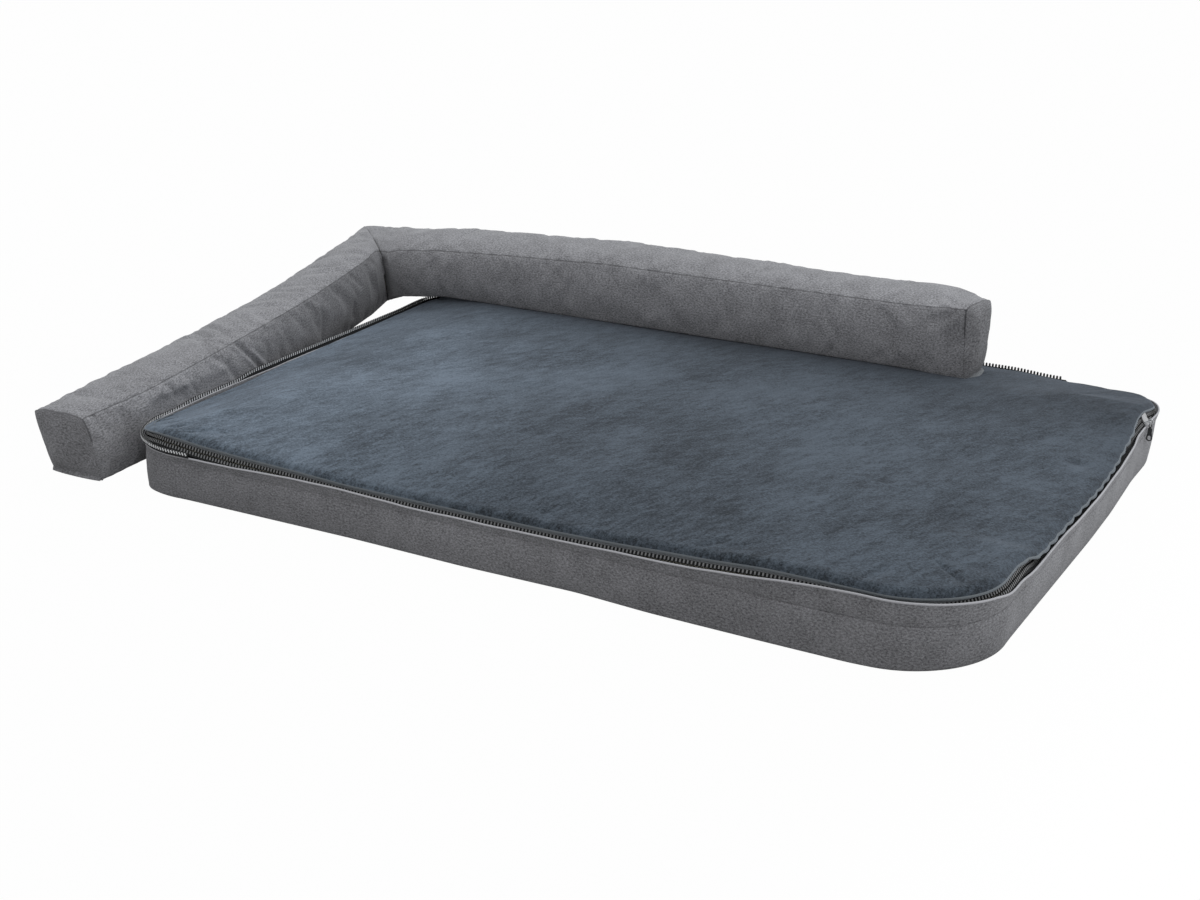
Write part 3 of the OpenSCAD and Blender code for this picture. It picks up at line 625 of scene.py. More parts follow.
def plush(colour):
    """Short brushed pile, whose nap lies in lighter and darker patches and long streaks.

    It is painted lighter towards the front left as painted light, painted darker at the back as
    the bolster's painted shadow, and painted darker over the roll of its rim as painted shade,
    where a grey selvedge ends it.
    """
    s = Shader("plush", roughness=0.95, sheen_weight=0.22, sheen_roughness=0.45,
               sheen_tint=(0.75, 0.85, 1.0, 1.0), specular_ior_level=0.2)
    patches = s.noise(s.object_place((7.0, 13.0, 7.0), 70), 1.0, 3.0, 0.6)
    streaks = s.noise(s.object_place((45.0, 190.0, 45.0), 74), 1.0, 3.0, 0.65)
    crossing = s.noise(s.object_place((40.0, 150.0, 40.0), 38), 1.0, 2.0, 0.6)
    grain = s.noise(s.object_place(), 420.0, 2.0, 0.75)
    tone = (patches * 1.7 + streaks * 1.3 + crossing * 0.9 + grain * 2.2 - 2.55).limited()
    # Painted light: the pile is painted lighter towards the front left, fading towards the right
    # and the back
    to_left = ((0.05 - s.object_axis("X")) / 0.42).limited()
    to_front = (1.0 - s.object_axis("Y") * 2.2).limited()
    painted_front_light = to_left * (3.0 - to_left * 2.0) * to_left * (to_front * 0.65 + 0.35)
    dark = s.colour_mix(painted_front_light, shade(colour, 0.22), shade(colour, 0.75))
    light = s.colour_mix(painted_front_light, shade(colour, 1.62), shade(colour, 3.15))
    # Painted shadow of the bolster: the pile is painted darker towards the back
    painted_back_shadow = ((s.object_axis("Y") - 0.07) / 0.15).limited()
    pile = s.scaled(s.colour_mix(tone, dark, light), 1.0 - painted_back_shadow * 0.38)
    # Painted shade over the roll of the rim, darkest next to its seam
    rim = (1.0 - s.edge() / 14.0).limited()
    pile = s.colour_mix(rim ** 2.0 * 0.5, pile, shade(colour, 0.42))
    binding = ((s.edge() - 500.0) / 100.0).limited()
    s.set(base_color=s.colour_mix(binding * 0.9, pile, (0.165, 0.18, 0.19)))
    s.bump(grain * 0.6 + streaks * 0.4, 0.0012, 0.55)
    return s.material


RIB_PITCH = 1.3


def woven_tape(colour):
    """Narrow zip tape with a rib across it every 1.3 mm, painted nearly black beside its teeth as
    painted shade.
    """
    s = Shader("zip_tape", roughness=0.85, specular_ior_level=0.3)
    place = s.node("ShaderNodeUVMap", {"uv_map": "cloth"})
    run = s.node("ShaderNodeSeparateXYZ", {}, {0: place}, output="X")
    ribs = (run * (2 * pi / (RIB_PITCH * MM))).sine() * 0.5 + 0.5
    grain = s.noise(s.object_place(), 900.0, 2.0)
    cloth = s.colour_mix((ribs * 0.6 + grain * 0.6 - 0.1).limited(),
                         shade(colour, 0.55), shade(colour, 1.3))
    # Painted shade: nearly black where the attribute is near 0, beside and under the teeth
    s.set(base_color=s.colour_mix((1.0 - s.edge()).limited(), cloth, shade(colour, 0.07)))
    s.bump(ribs, 0.0003, 0.7)
    return s.material


def moulded_teeth(colour):
    """Moulded plastic teeth whose outer faces are painted light grey as painted light from above,
    with random tone, and whose other faces are painted nearly black as painted shade in their
    gaps.
    """
    s = Shader("zip_teeth", specular_ior_level=0.4)
    wear = s.noise(s.object_place(), 260.0, 3.0, 0.6)
    painted_lit = s.colour_mix((wear * 1.6 - 0.4).limited(), shade(colour, 0.75), shade(colour, 1.3))
    # Painted light on the teeth's outer faces, and painted shade, nearly black, on the rest of
    # each tooth
    s.set(base_color=s.colour_mix(s.edge().limited(), shade(colour, 0.03), painted_lit),
          roughness=wear * 0.25 + 0.35)
    s.bump(wear, 0.0001, 0.3)
    return s.material


def plated_metal(colour):
    """Plated zip metal, brushed and rubbed darker in places."""
    s = Shader("zip_metal", metallic=1.0)
    brush = s.noise(s.object_place((500, 3000, 500)), 1.0, 2.0)
    rub = s.noise(s.object_place(), 300.0, 3.0, 0.6)
    s.set(base_color=s.colour_mix((rub * 1.4 - 0.3).limited(), shade(colour, 0.75),
                                  shade(colour, 1.5)),
          roughness=brush * 0.2 + rub * 0.15 + 0.22)
    s.bump(brush, 0.00005, 0.3)
    return s.material


def black_plastic(colour):
    """Satin black plastic with a fine moulded grain."""
    s = Shader("black_plastic", specular_ior_level=0.5)
    grain = s.noise(s.object_place(), 1500.0, 2.0)
    s.set(base_color=s.colour_mix(grain, shade(colour, 0.8), shade(colour, 1.3)),
          roughness=grain * 0.2 + 0.32)
    s.bump(grain, 0.00005, 0.4)
    return s.material


def cell_foam(colour):
    """Open-cell foam with small dark pores."""
    s = Shader("foam", roughness=0.95)
    pores = s.node("ShaderNodeTexVoronoi", {}, {"Vector": s.object_place(), "Scale": 420.0})
    s.set(base_color=s.colour_mix((pores * 1.8).limited(), shade(colour, 0.7), colour))
    s.bump(pores, 0.0006, 0.6)
    return s.material


def floor_finish():
    """Pale floor that reads as white to the camera but keeps a faint shadow of the object."""
    s = Shader("pale_floor", roughness=0.9, specular_ior_level=0.1)
    to_right = ((s.object_axis("X") - 0.44) / 0.22).limited()
    s.set(base_color=s.colour_mix(to_right, (0.27, 0.27, 0.27), (0.95, 0.95, 0.95)))
    seen = seen_rays(s)
    glow = s.tree.nodes.new("ShaderNodeEmission")
    glow.inputs["Color"].default_value = (1, 1, 1, 1)
    glow.inputs["Strength"].default_value = 1.0
    blend = s.tree.nodes.new("ShaderNodeMixShader")
    s.feed(blend.inputs[0], seen * 0.985)
    s.tree.links.new(s.surface.outputs[0], blend.inputs[1])
    s.tree.links.new(glow.outputs[0], blend.inputs[2])
    s.tree.links.new(blend.outputs[0], s.out.inputs["Surface"])
    return s.material


def seen_rays(s):
    """One for the rays that show the background: camera, glossy and transmission."""
    camera = s.node("ShaderNodeLightPath", output="Is Camera Ray")
    glossy = s.node("ShaderNodeLightPath", output="Is Glossy Ray")
    through = s.node("ShaderNodeLightPath", output="Is Transmission Ray")
    return (camera + glossy + through).limited()


# The maker of each slot's material and the setting that holds its colour
MAKERS = {"heather_cloth": (heather_cloth, "cloth_colour"), "plush": (plush, "plush_colour"),
          "zip_tape": (woven_tape, "tape_colour"), "zip_teeth": (moulded_teeth, "teeth_colour"),
          "zip_metal": (plated_metal, "metal_colour"), "foam": (cell_foam, "foam_colour"),
          "black_plastic": (black_plastic, "plastic_colour")}
FINISHES = {}


def finish(slot):
    """The shared material of a slot, made the first time that it is asked for."""
    if slot not in FINISHES:
        maker, setting = MAKERS[slot]
        FINISHES[slot] = maker(tuple(getattr(bpy.context.scene.dog_mattress, setting)))
    return FINISHES[slot]


# ---- The mattress's cover


# Under the fold of the front the cloth is drawn in, which leaves a soft shadow
recess = rim_table((0, 0), (120, 0.8), (170, 2.0), (front(-300), 2.8), (front(50), 2.6),
                   (front(200), 1.8), (front(330), 0.8), (RIGHT_START, 0.6), (BACK_START, 0),
                   (LEFT_START, 0), blur=40)


WAVE_SCALE = 95
WAVE_SEED = 3.1
DRAWN_IN_UP = 46
DRAWN_IN_HALF = 11


def wall_out(run, up):
    """How far the side wall stands out from the outline at a height."""
    share = clamp(up / 54)
    swell = 1.3 * sin(pi * clamp(up / BAND_TOP))
    wave = 1.5 * ripple(run, 0, WAVE_SCALE, WAVE_SEED) * sin(pi * clamp(up / 60))
    drawn_in = recess(run) * bell((up - DRAWN_IN_UP) / DRAWN_IN_HALF)
    return mix(foot_bow(run), hem_bow(run), share) + swell + wave - drawn_in


def band_profile(run):
    """Side band: a rounded foot, a slightly bulging wall and the seam under the facing."""
    foot = foot_bow(run)
    heights = (4.5, 10, 16, 22, 28, 34, 39, 42)
    outer = [(wall_out(run, up), up) for up in heights]
    top = wall_out(run, BAND_TOP) - 0.9
    inner = [(out - CLOTH, up) for out, up in reversed(outer)]
    return ([(foot - 5, 0.15), (foot - 1.6, 0.2), (foot - 0.4, 0.9), (foot + 0.2, 2.4)] + outer
            + [(top, BAND_TOP + 0.2), (top - 1.1, BAND_TOP)] + inner
            + [(foot - 1.2, 2.4), (foot - 5, 1.3)])


def facing_profile(run):
    """Folded facing over the band's seam, with a rounded fold along its top."""
    top = hem_height(run) + 0.5 * ripple(run, 0, 30, 7.7)
    low = wall_out(run, BAND_TOP) - 0.9
    wave = 1.5 * ripple(run, 0, WAVE_SCALE, WAVE_SEED) * sin(pi * clamp(top / 60))
    high = hem_bow(run) + wave
    middle = mix(low, high, 0.55) + 0.8 - 0.3 * recess(run)
    sag = (BAND_TOP + top) / 2
    under = high + 1.0 - 0.6 * recess(run)
    return [(low, BAND_TOP - 0.6), (low + 0.9, BAND_TOP + 0.3), (low + 1.3, BAND_TOP + 1.6),
            (middle + 0.5, sag), (under, top - 2.8), (high + 1.25, top - 1.3),
            (high + 0.85, top - 0.25), (high + 0.2, top), (high - 0.4, top - 0.25),
            (high - 0.75, top - 1.0), (high - 0.8, top - 2.2), (middle - 1.3, sag),
            (low - 0.5, BAND_TOP + 1.6), (low - 0.9, BAND_TOP - 0.6)]


# How dark the line below the facing is painted, for its seam and for painted shadow under the
# facing's edge: faint at the front left corner, none along the left half of the front, and strong
# from the front right round to the left side
seam_line_and_shadow = rim_table(
    (0, 0.35), (100, 0.3), (170, 0.2), (front(-340), 0), (front(80), 0), (front(330), 0.9),
    (RIGHT_START, 1), (right(250), 1), (BACK_START, 0.8), (LEFT_START, 0.8), blur=40)


# Painted light and shade: the band's cloth is painted darker along most of the front, darkest
# towards the front right corner, and a little lighter on the right side
band_painted_shading = rim_table((0, -0.08), (200, -0.11), (front(-250), -0.08), (front(-60), 0),
                       (front(120), -0.06), (front(280), -0.16), (RIGHT_START, -0.15),
                       (right(-200), 0.04), (right(200), 0.04), (BACK_START, 0),
                       (LEFT_START, 0), blur=60)


class DOGBED_OT_cover(bpy.types.Operator):
    """Make the base panel, the side band and the folded zip facing"""
    bl_idname = "dogbed.cover"
    bl_label = "Mattress Cover"

    def execute(self, context):
        cloth = finish("heather_cloth")
        runs = rim_stations()[:-1]
        points_round = len(band_profile(0))
        rim_strip("side_band_cloth", runs, band_profile, cloth,
                  ("side_band",), closed=True, weave=band_painted_shading,
                  edge=lambda run, i, out, up: PLAIN if i > points_round / 2
                  else 0.5 if up < 0.5 else abs(up - BAND_TOP) + 1.5 - 1.1 * seam_line_and_shadow(run))
        rim_strip("zip_facing_cloth", runs, facing_profile, cloth,
                  ("zip_facing",), closed=True, weave=band_painted_shading,
                  edge=lambda run, i, out, up: ON_FOLD_HIGHLIGHT if 5 <= i <= 8
                  else PLAIN if i else 1.5 - 1.5 * seam_line_and_shadow(run))
        self.base_panel(cloth)
        return {"FINISHED"}

    def base_panel(self, cloth):
        """The underside: a flat cloth sheet whose rim turns up to meet the side band."""
        runs = rim_stations(step=12)[:-1]
        rings = ((0.6, 1.2), (0.9, 0.3), (4, 0.0), (12, 0.0), (40, 0.0), (110, 0.0),
                 (220, 0.0), (330, 0.0))
        points, uv = [], []
        for lift in (0.0, 1.2):
            for inset, up in rings:
                for run in runs:
                    x, y, _, _ = rim_place(run, inset + 1.0 + lift * 0.3 - foot_bow(run))
                    points.append((x, y, up + lift))
                    uv.append((x, y))
        count = len(runs)
        layers = len(rings)
        faces = quad_strip(layers, count)
        upper = [tuple(v + layers * count for v in reversed(f)) for f in faces]
        faces += upper
        for i in range(count):
            k = (i + 1) % count
            faces.append((i, k, layers * count + k, layers * count + i))
        for base in ((layers - 1) * count, (2 * layers - 1) * count):
            points.append((0, 0, points[base][2]))
            uv.append((0, 0))
            faces += fan(base, count, len(points) - 1)
        make_piece("base_panel_cloth", points, faces, cloth, "mattress",
                   ("base_panel",), uv, [PLAIN] * len(points))


# ---- The plush lid and the foam under it


def crown_share(inset):
    """How much of the lid's crown is reached at an inset."""
    return sin(pi / 2 * clamp((inset - ROLL_INSET) / (CROWN_REACH - ROLL_INSET)))


def lid_fall(run):
    """How far the top of the lid's roll lies below its full height."""
    return seam_drop(run) + (1 - roll_rise(run)) * (ROLL_TOP - LID_SEAM_HEIGHT)


def lid_height(run, inset):
    """Height of the lid's outer face from the top of its roll inwards."""
    fall = lid_fall(run) * (1 - clamp((inset - ROLL_INSET) / 110)) ** 1.5
    return ROLL_TOP + bpy.context.scene.dog_mattress.crown / MM * crown_share(inset) - fall


def lid_section(run, depth):
    """Insets and heights across the lid, from its seam over the roll to the middle."""
    shift = (1 - beside_zip(run)) * EDGE_SHIFT
    drop, rise = seam_drop(run), roll_rise(run)
    section = []
    radius = LID_ROLL - depth
    for i in range(9):
        a = radians(mix(ROLL_START - 6, 90, i / 8))
        up = ROLL_MIDDLE[1] + radius * sin(a)
        section.append([ROLL_INSET - radius * cos(a) - shift * (1 - i / 8),
                        LID_SEAM_HEIGHT + (up - LID_SEAM_HEIGHT) * rise - drop])
    for inset in (20, 24, 28, 33, 38, 44, 50, 57, 64, 72, 80, 88, 97, 106, 116, 127, 139, 152,
                  166, 182, 200, 220, 240, 262, 286, 310, CROWN_REACH - 8):
        section.append([inset, lid_height(run, inset) - depth])
    spread, wall = lid_spread(run), 1.4 - hem_bow(run)
    if spread:
        for place in section:
            place[0] -= spread * (1 - clamp(place[0] / 90)) ** 1.2
            if place[1] < hem_height(run) + 1:
                place[0] = max(place[0], wall + depth)
    return section


# Creases of the lid that run in from its edge: rim run, insets of both ends, slant, half width
# and depth
LID_CREASES = (
    (96, 16, 42, 0.25, 3.5, 2.4), (112, 22, 40, -0.2, 3.0, 1.6), (133, 14, 34, 0.5, 3.5, 2.2),
    (158, 16, 40, 0.9, 4.0, 2.4), (176, 20, 46, 0.9, 3.5, 1.5),
    (40, 14, 40, -0.3, 3.5, 1.8), (front(-250), 14, 26, 0.5, 4.0, 1.0),
    (front(60), 14, 32, -0.4, 4.0, 1.2), (front(228), 16, 40, 0.6, 3.5, 1.8),
    (front(246), 14, 34, 0.3, 3.0, 1.5), (front(262), 18, 38, 0.2, 3.5, 1.3),
    (front(390), 16, 50, 0.3, 5.0, 1.4), (1050, 18, 60, 0.2, 5.0, 1.6),
    (right(-120), 14, 36, 0.3, 4.0, 1.2), (right(60), 14, 40, -0.3, 5.0, 1.3),
)


def creased(run, inset, at, near, far, slant, half):
    """Depth share of one crease of the lid at a place, 1 in its middle."""
    if abs(run - at) > 40 or not near - 6 < inset < far + 12:
        return 0.0
    away = (run - at - slant * (inset - near)) / half
    share = (inset - near) / (far - near)
    return smooth(share * 3 + 0.6) * smooth((1.15 - share) * 2.2) * bell(away)


def lid_puckers(run, inset):
    """Small gathers that run in from the zip seam, and broad soft waves farther in."""
    near = smooth((inset - 2) / 8) * smooth((75 - inset) / 60)
    stretch = noise.noise(Vector((run / 17.0, inset / 120.0, 4.2)))
    gather = noise.noise(Vector((run / 60.0, 0.3, 9.1)))
    puckers = 1.3 * near * stretch * (0.5 + max(0.0, gather) * 1.6)
    puckers -= sum(1.7 * depth * creased(run, inset, *line) for *line, depth in LID_CREASES)
    x, y, _, _ = rim_place(run, inset)
    broad = 1.6 * noise.noise(Vector((x / 150.0, y / 110.0, 1.7))) * smooth((inset - 10) / 80)
    ridge = 0.7 * noise.noise(Vector((x / 45.0, y / 60.0, 8.8))) * smooth((inset - 15) / 60)
    return puckers + broad + ridge


SCALLOP_LENGTH = 27.0
SCALLOP_DEPTH = 2.0


def scallop(run):
    """The lid's edge is drawn into scallops between its stitches on the right side."""
    on_right = smooth((run - right(-250)) / 60) * smooth((right(240) - run) / 60)
    return on_right * (SCALLOP_DEPTH * abs(sin(pi * run / SCALLOP_LENGTH))
                       + 0.4 * sin(run / 31.0))


class DOGBED_OT_lid(bpy.types.Operator):
    """Make the padded plush lid"""
    bl_idname = "dogbed.lid"
    bl_label = "Plush Lid"

    def execute(self, context):
        runs = rim_stations()[:-1]
        count = len(runs)
        points, uv, edges, faces = [], [], [], []
        for depth in (0.0, LID_THICKNESS):
            sections = [lid_section(run, depth) for run in runs]
            base = len(points)
            for i in range(len(sections[0])):
                for k, run in enumerate(runs):
                    inset, up = sections[k][i]
                    lift = lid_puckers(run, inset) * smooth(i / 7)
                    edge_in = scallop(run) * max(0.0, 1 - i / 3)
                    x, y, _, _ = rim_place(run, inset - edge_in)
                    points.append((x, y, up + lift - edge_in * 0.6))
                    uv.append((x, y))
                    edges.append(ON_SELVEDGE if i < 2 and run < ZIP_END
                                 else 2.0 * i if i < 9 else inset)
            strip = quad_strip(len(sections[0]), count)
            points.append((0, 0, lid_height(0, CROWN_REACH) - depth))
            uv.append((0, 0))
            edges.append(300.0)
            strip += fan((len(sections[0]) - 1) * count, count, len(sections[0]) * count)
            faces += [tuple(v + base for v in (f if depth == 0 else tuple(reversed(f))))
                      for f in strip]
            if depth:
                faces += [(i, (i + 1) % count, base + (i + 1) % count, base + i)
                          for i in range(count)]
        lid = make_piece("plush_lid_pad", points, faces, finish("plush"), "mattress",
                         ("plush_lid",), uv, edges, sharp=180)
        return {"FINISHED"}


class DOGBED_OT_foam(bpy.types.Operator):
    """Make the foam block inside the cover"""
    bl_idname = "dogbed.foam"
    bl_label = "Foam Block"

    def execute(self, context):
        runs = rim_stations(step=12)[:-1]
        rows = []
        for run in runs:
            fall = lid_fall(run)
            low = max(0.0, fall)
            deep = max(0.0, fall - 9)
            rows.append([(9, 1.6), (8, 3), (5, 20), (6.5, 42 - deep), (8.0, 47 - deep),
                         (11, 57 - low), (14.5, 64.5 - fall), (20, 69 - fall)]
                        + [(inset, lid_height(run, inset) - LID_TO_FOAM)
                           for inset in (34, 60, 90, 125, 180, 250, 325)])
        points = [(*rim_place(run, rows[k][i][0])[:2], rows[k][i][1])
                  for i in range(len(rows[0])) for k, run in enumerate(runs)]
        points += [(0, 0, 1.6), (0, 0, lid_height(0, CROWN_REACH) - LID_TO_FOAM)]
        faces = tube_faces(len(rows[0]), len(runs))
        foam = make_piece("foam_block", points, faces, finish("foam"), "mattress",
                          ("foam_core",))
        return {"FINISHED"}


# ---- The main zip

ZIP_END = BACK_START
OPEN_START = right(258)
FIRST_TOOTH = 5.4
ROW_OFFSET = 2.6
MAIN_TOOTH = (2.2, 3.9, 3.0, 0.4)
END_STOP = (2.6, 4.0, 3.2, 0.5)


def parted(run):
    """How far the two rows stand apart behind the slider, towards the back right corner."""
    return 2.4 * smooth((run - OPEN_START) / 70)


def behind_facing(run, out, up, depth):
    """How far out a point of the base's half may stand, where the fold hides it."""
    profile = facing_profile(run)
    inner = profile[13:9:-1]
    limit = float(np.interp(up, [p[1] for p in inner], [p[0] for p in inner])) - depth
    share = smooth((profile[7][1] - up) / 3) * smooth(seam_drop(run) / 3)
    return mix(out, min(out, limit), share)


def zip_point(run, along, out):
    """A place in the mattress's frame on the zip's leaning plane."""
    sway = 0.35 * noise.noise(Vector((run / 45.0, 5.5, 0)))
    side = 1 if along > 0 else -1
    r, up = on_zip(along + side * parted(run) * (0.4 if side < 0 else 1), out + sway)
    r, up = r + zip_spread(run), up - seam_drop(run)
    if side < 0:
        r = behind_facing(run, r, up - 1.2, 2.0)
    x, y, nx, ny = rim_place(run, -r)
    return np.array((x, y, up)), np.array((nx, ny, 0.0))


def tape_profile(side):
    """Section of a half of the main zip's tape: 1 is the lid's and -1 the base's."""
    def lid_half(run):
        """The half that runs up behind its teeth and in under the lid's roll."""
        middle = ROLL_MIDDLE
        lift = parted(run)
        arc = [middle + (LID_ROLL - LID_THICKNESS - 0.5) * np.array((cos(a), sin(a)))
               for a in (radians(30), radians(45), radians(60))]
        under = [middle + (LID_ROLL - LID_THICKNESS - 1.3) * np.array((cos(a), sin(a)))
                 for a in (radians(60), radians(45), radians(30))]
        start = 0.5 + lift
        return moved(run, [on_zip(start, -TAPE_HALF), on_zip(start, TAPE_HALF),
                           on_zip(start + 3.9, TAPE_HALF), on_zip(start + 4.5, TAPE_HALF),
                           on_zip(LID_SEAM + lift, TAPE_HALF)] + arc + under
                     + [on_zip(LID_SEAM, -TAPE_HALF)])

    def base_half(run):
        """The half that turns down behind the facing."""
        turn = on_zip(-6.4, 0) + (0.8 * max(0.0, hem_bow(run) - 1 - zip_spread(run)), 0)
        back, foot = 1.2 + recess(run), turn[1] - 6
        points = moved(run, (
            on_zip(-0.5, TAPE_HALF), on_zip(-0.5, -TAPE_HALF), (turn[0] - 0.8 - back, turn[1]),
            (turn[0] - 0.8 - back, foot), (turn[0] - back, foot), (turn[0] - back, turn[1] - 0.6),
            turn + (0.2, 0.4)))
        return [(behind_facing(run, out, up, 0.5 + 0.6 * (1 <= i <= 3)), up)
                for i, (out, up) in enumerate(points)]
    return lid_half if side > 0 else base_half


def zip_spread(run):
    """How far the zip follows the lid's bulge: a little at the front left corner, then not at
    all, and fully from where its rows part."""
    return lid_spread(run) * (0.2 if run < QUARTER + 40 else 0.0 if run < OPEN_START else 1.0)


def moved(run, profile):
    """An edge profile after the bulge and the drop of the lid's seam at a run."""
    spread, drop = zip_spread(run), seam_drop(run)
    return [(out + spread, up - drop) for out, up in profile]


class DOGBED_OT_main_zip(bpy.types.Operator):
    """Make the main zip's tapes and its two rows of teeth, and dress its stops"""
    bl_idname = "dogbed.main_zip"
    bl_label = "Main Zip"

    def execute(self, context):
        runs = rim_stations(0.0, ZIP_END)
        tape = finish("zip_tape")
        # The lid's tape is painted nearly black beside its teeth, and the base's tape all over, as
        # painted shade
        rim_strip("lid_tape", runs, tape_profile(1), tape, ("lid_zip_tape",),
                  edge=lambda run, i, out, up: 0.0 if i < 3 and not scallop(run) else 2.0)
        rim_strip("base_tape", runs, tape_profile(-1), tape, ("base_zip_tape",),
                  edge=lambda *_: 0.0)
        pitch = context.scene.dog_mattress.tooth_pitch / MM
        tooth = model_tooth(*MAIN_TOOTH)
        for side, name, node, start in ((1, "lid_teeth", "lid_zip_teeth", 0.5),
                                        (-1, "base_teeth", "base_zip_teeth", 0.0)):
            places = [self.row_place(FIRST_TOOTH + pitch * (i + start), side * ROW_OFFSET)
                      for i in range(floor((ZIP_END - 10) / pitch))]
            copy_row(name, tooth, places, finish("zip_teeth"), "mattress", (node,),
                     painted_top_light=0.2)
        stop = model_tooth(*END_STOP)
        places = [self.row_place(run, along) for run, along in
                  ((1.6, -2.4), (1.6, 2.4), (ZIP_END - 2, -ROW_OFFSET), (ZIP_END - 2, ROW_OFFSET))]
        copy_row("zip_end_stops", stop, places, finish("zip_metal"), "mattress",
                 ("main_zip_stops",))
        return {"FINISHED"}

    def row_place(self, run, along):
        """Place and directions of a tooth or stop on one side of the zip."""
        side = 1 if along > 0 else -1
        centre, outward = zip_point(run, along, 0)
        across = np.array((*(outward[:2] * sin(ZIP_LEAN) * side), -side * cos(ZIP_LEAN)))
        out = np.array((*(outward[:2] * cos(ZIP_LEAN)), sin(ZIP_LEAN)))
        return centre, np.cross(across, out), across, out


# ---- The comb: the mattress's half of the bolster zip

COMB_FRONT = QUARTER + 24
COMB_BACK = BACK_START + 25
COMB_LENGTH = COMB_FRONT + PERIMETER - COMB_BACK
COMB_TOOTH = (2.3, 3.9, 2.5, 0.45)
COMB_PIN = (8, 2.4, 2.4, 0.5)


def comb_run(along):
    """Rim run at a distance along the comb, from its front end round the left to the back."""
    return COMB_FRONT - along


def past_corner(run):
    """Run from the front left corner's start, which counts below 0 along the left side."""
    return (run + PERIMETER / 2) % PERIMETER - PERIMETER / 2


def comb_dip(run):
    """How far the comb's top lies below its height in the CAD."""
    run %= PERIMETER
    if run > PERIMETER / 2:
        raised = 3.2 * smooth((run - BACK_START - 35) / 60) - 1.6 * smooth((run - LEFT_START) / 60)
        return (4.2 * smooth((run - LEFT_START - 350) / 45)
                + 3.4 * smooth((run - LEFT_START - 455) / 45) - raised)
    angle = 90 * run / QUARTER
    return mix(2.8, 6.0, smooth((70 - angle) / 55))


def comb_sway(run):
    """The free edge of the comb leans in and out a little along the sewn edges."""
    return 0.35 * ripple(run, 0, 60, 2.2) + 0.3


def comb_tuck(run):
    """One where the comb comes up from behind the facing, at the front left corner."""
    return smooth((past_corner(run) + 40) / 40)


def comb_profile(run):
    """Section of the comb's tape, from its sewn foot up to the teeth."""
    dip, sway, tuck = comb_dip(run), comb_sway(run), comb_tuck(run)
    foot = mix(COMB_FOOT - 12, hem_height(run) - 5, tuck)
    knee = mix(COMB_FOOT - 6, hem_height(run) + 0.7, tuck)
    low, bend = mix(COMB_FACE, -2.3, tuck), mix(COMB_FACE, -0.9, tuck)
    top = COMB_FOOT + 0.3 - dip
    knee = min(knee, top - 4)
    foot = min(foot, knee - 4)
    face = COMB_FACE + sway
    return [(low - 0.4, foot), (low + 0.4, foot), (bend + 0.8, knee), (face + 0.7, top - 3.5),
            (face + 0.8, top - 0.2), (face + 0.4, top), (face, top - 0.2), (face - 0.1, top - 3.5),
            (bend, knee)]


def comb_edge(run, i, out, up):
    """The tape is painted nearly black beside its teeth, and under them where it leaves the
    facing, as painted shade.
    """
    return 0.0 if 4 <= i <= 7 or (i < 4 and comb_tuck(run) > 0.5) else 2.0


class DOGBED_OT_comb(bpy.types.Operator):
    """Make the upright tape, teeth and end pin round the left and back edges"""
    bl_idname = "dogbed.comb"
    bl_label = "Upright Comb"

    def execute(self, context):
        count = round(COMB_LENGTH / 6)
        runs = [comb_run(COMB_LENGTH * i / count) for i in range(count + 1)]
        rim_strip("comb_tape_cloth", runs, comb_profile, finish("zip_tape"),
                  ("comb_tape",), edge=comb_edge)
        pitch = context.scene.dog_mattress.tooth_pitch / MM
        tooth = model_tooth(*COMB_TOOTH)
        places, light = [], []
        for i in range(floor((COMB_LENGTH - 4) / pitch)):
            run = comb_run(2 + pitch * i)
            # Painted light on the comb's teeth: full from the front to about two thirds along the
            # left side, fading to none before the back left corner
            light.append(smooth((past_corner(run) + 480) / 150))
            x, y, nx, ny = rim_place(run, -(COMB_FACE + 1.3 + comb_sway(run) * 0.9))
            tilt = 0.16 * noise.noise(Vector((i * 0.9, 3.3, 0)))
            slant = 0.55 * comb_tuck(run)
            across = unit(np.array((nx * tilt - ny * slant, ny * tilt + nx * slant, -1.0)))
            out = unit(np.array((nx, ny, 0.0)) - across * (across @ (nx, ny, 0.0)))
            places.append(((x, y, COMB_FOOT + 1.75 - comb_dip(run)), np.cross(across, out),
                           -across, out))
        copy_row("comb_teeth_row", tooth, places, finish("zip_teeth"), "mattress",
                 ("comb_teeth",), painted_top_light=light, both=True)
        run = COMB_BACK + 2
        x, y, nx, ny = rim_place(run, -COMB_FACE - 0.4)
        place = ((x, y, COMB_FOOT - 2.0), np.array((ny, -nx, 0.0)), np.array((0.0, 0.0, 1.0)),
                 np.array((nx, ny, 0.0)))
        copy_row("comb_end_pin", model_tooth(*COMB_PIN), [place], finish("black_plastic"),
                 "mattress", ("comb_pin",), sharp=40)
        return {"FINISHED"}


class DOGBED_OT_sliders(bpy.types.Operator):
    """Dress both sliders, the two pull rings and the two pull tabs"""
    bl_idname = "dogbed.sliders"
    bl_label = "Sliders and Pulls"

    def execute(self, context):
        for node in ("main_slider", "bolster_slider"):
            dress_node(node, finish("zip_metal"), 0.35)
        for node in ("main_pull_link", "main_pull_ring"):
            dress_node(node, finish("zip_metal"))
        for node in ("main_pull_tab", "bolster_pull_tab"):
            dress_node(node, finish("black_plastic"), 0.3)
        dress_node("bolster_zip_box", finish("black_plastic"), 0.4)
        return {"FINISHED"}


# ---- The bolster

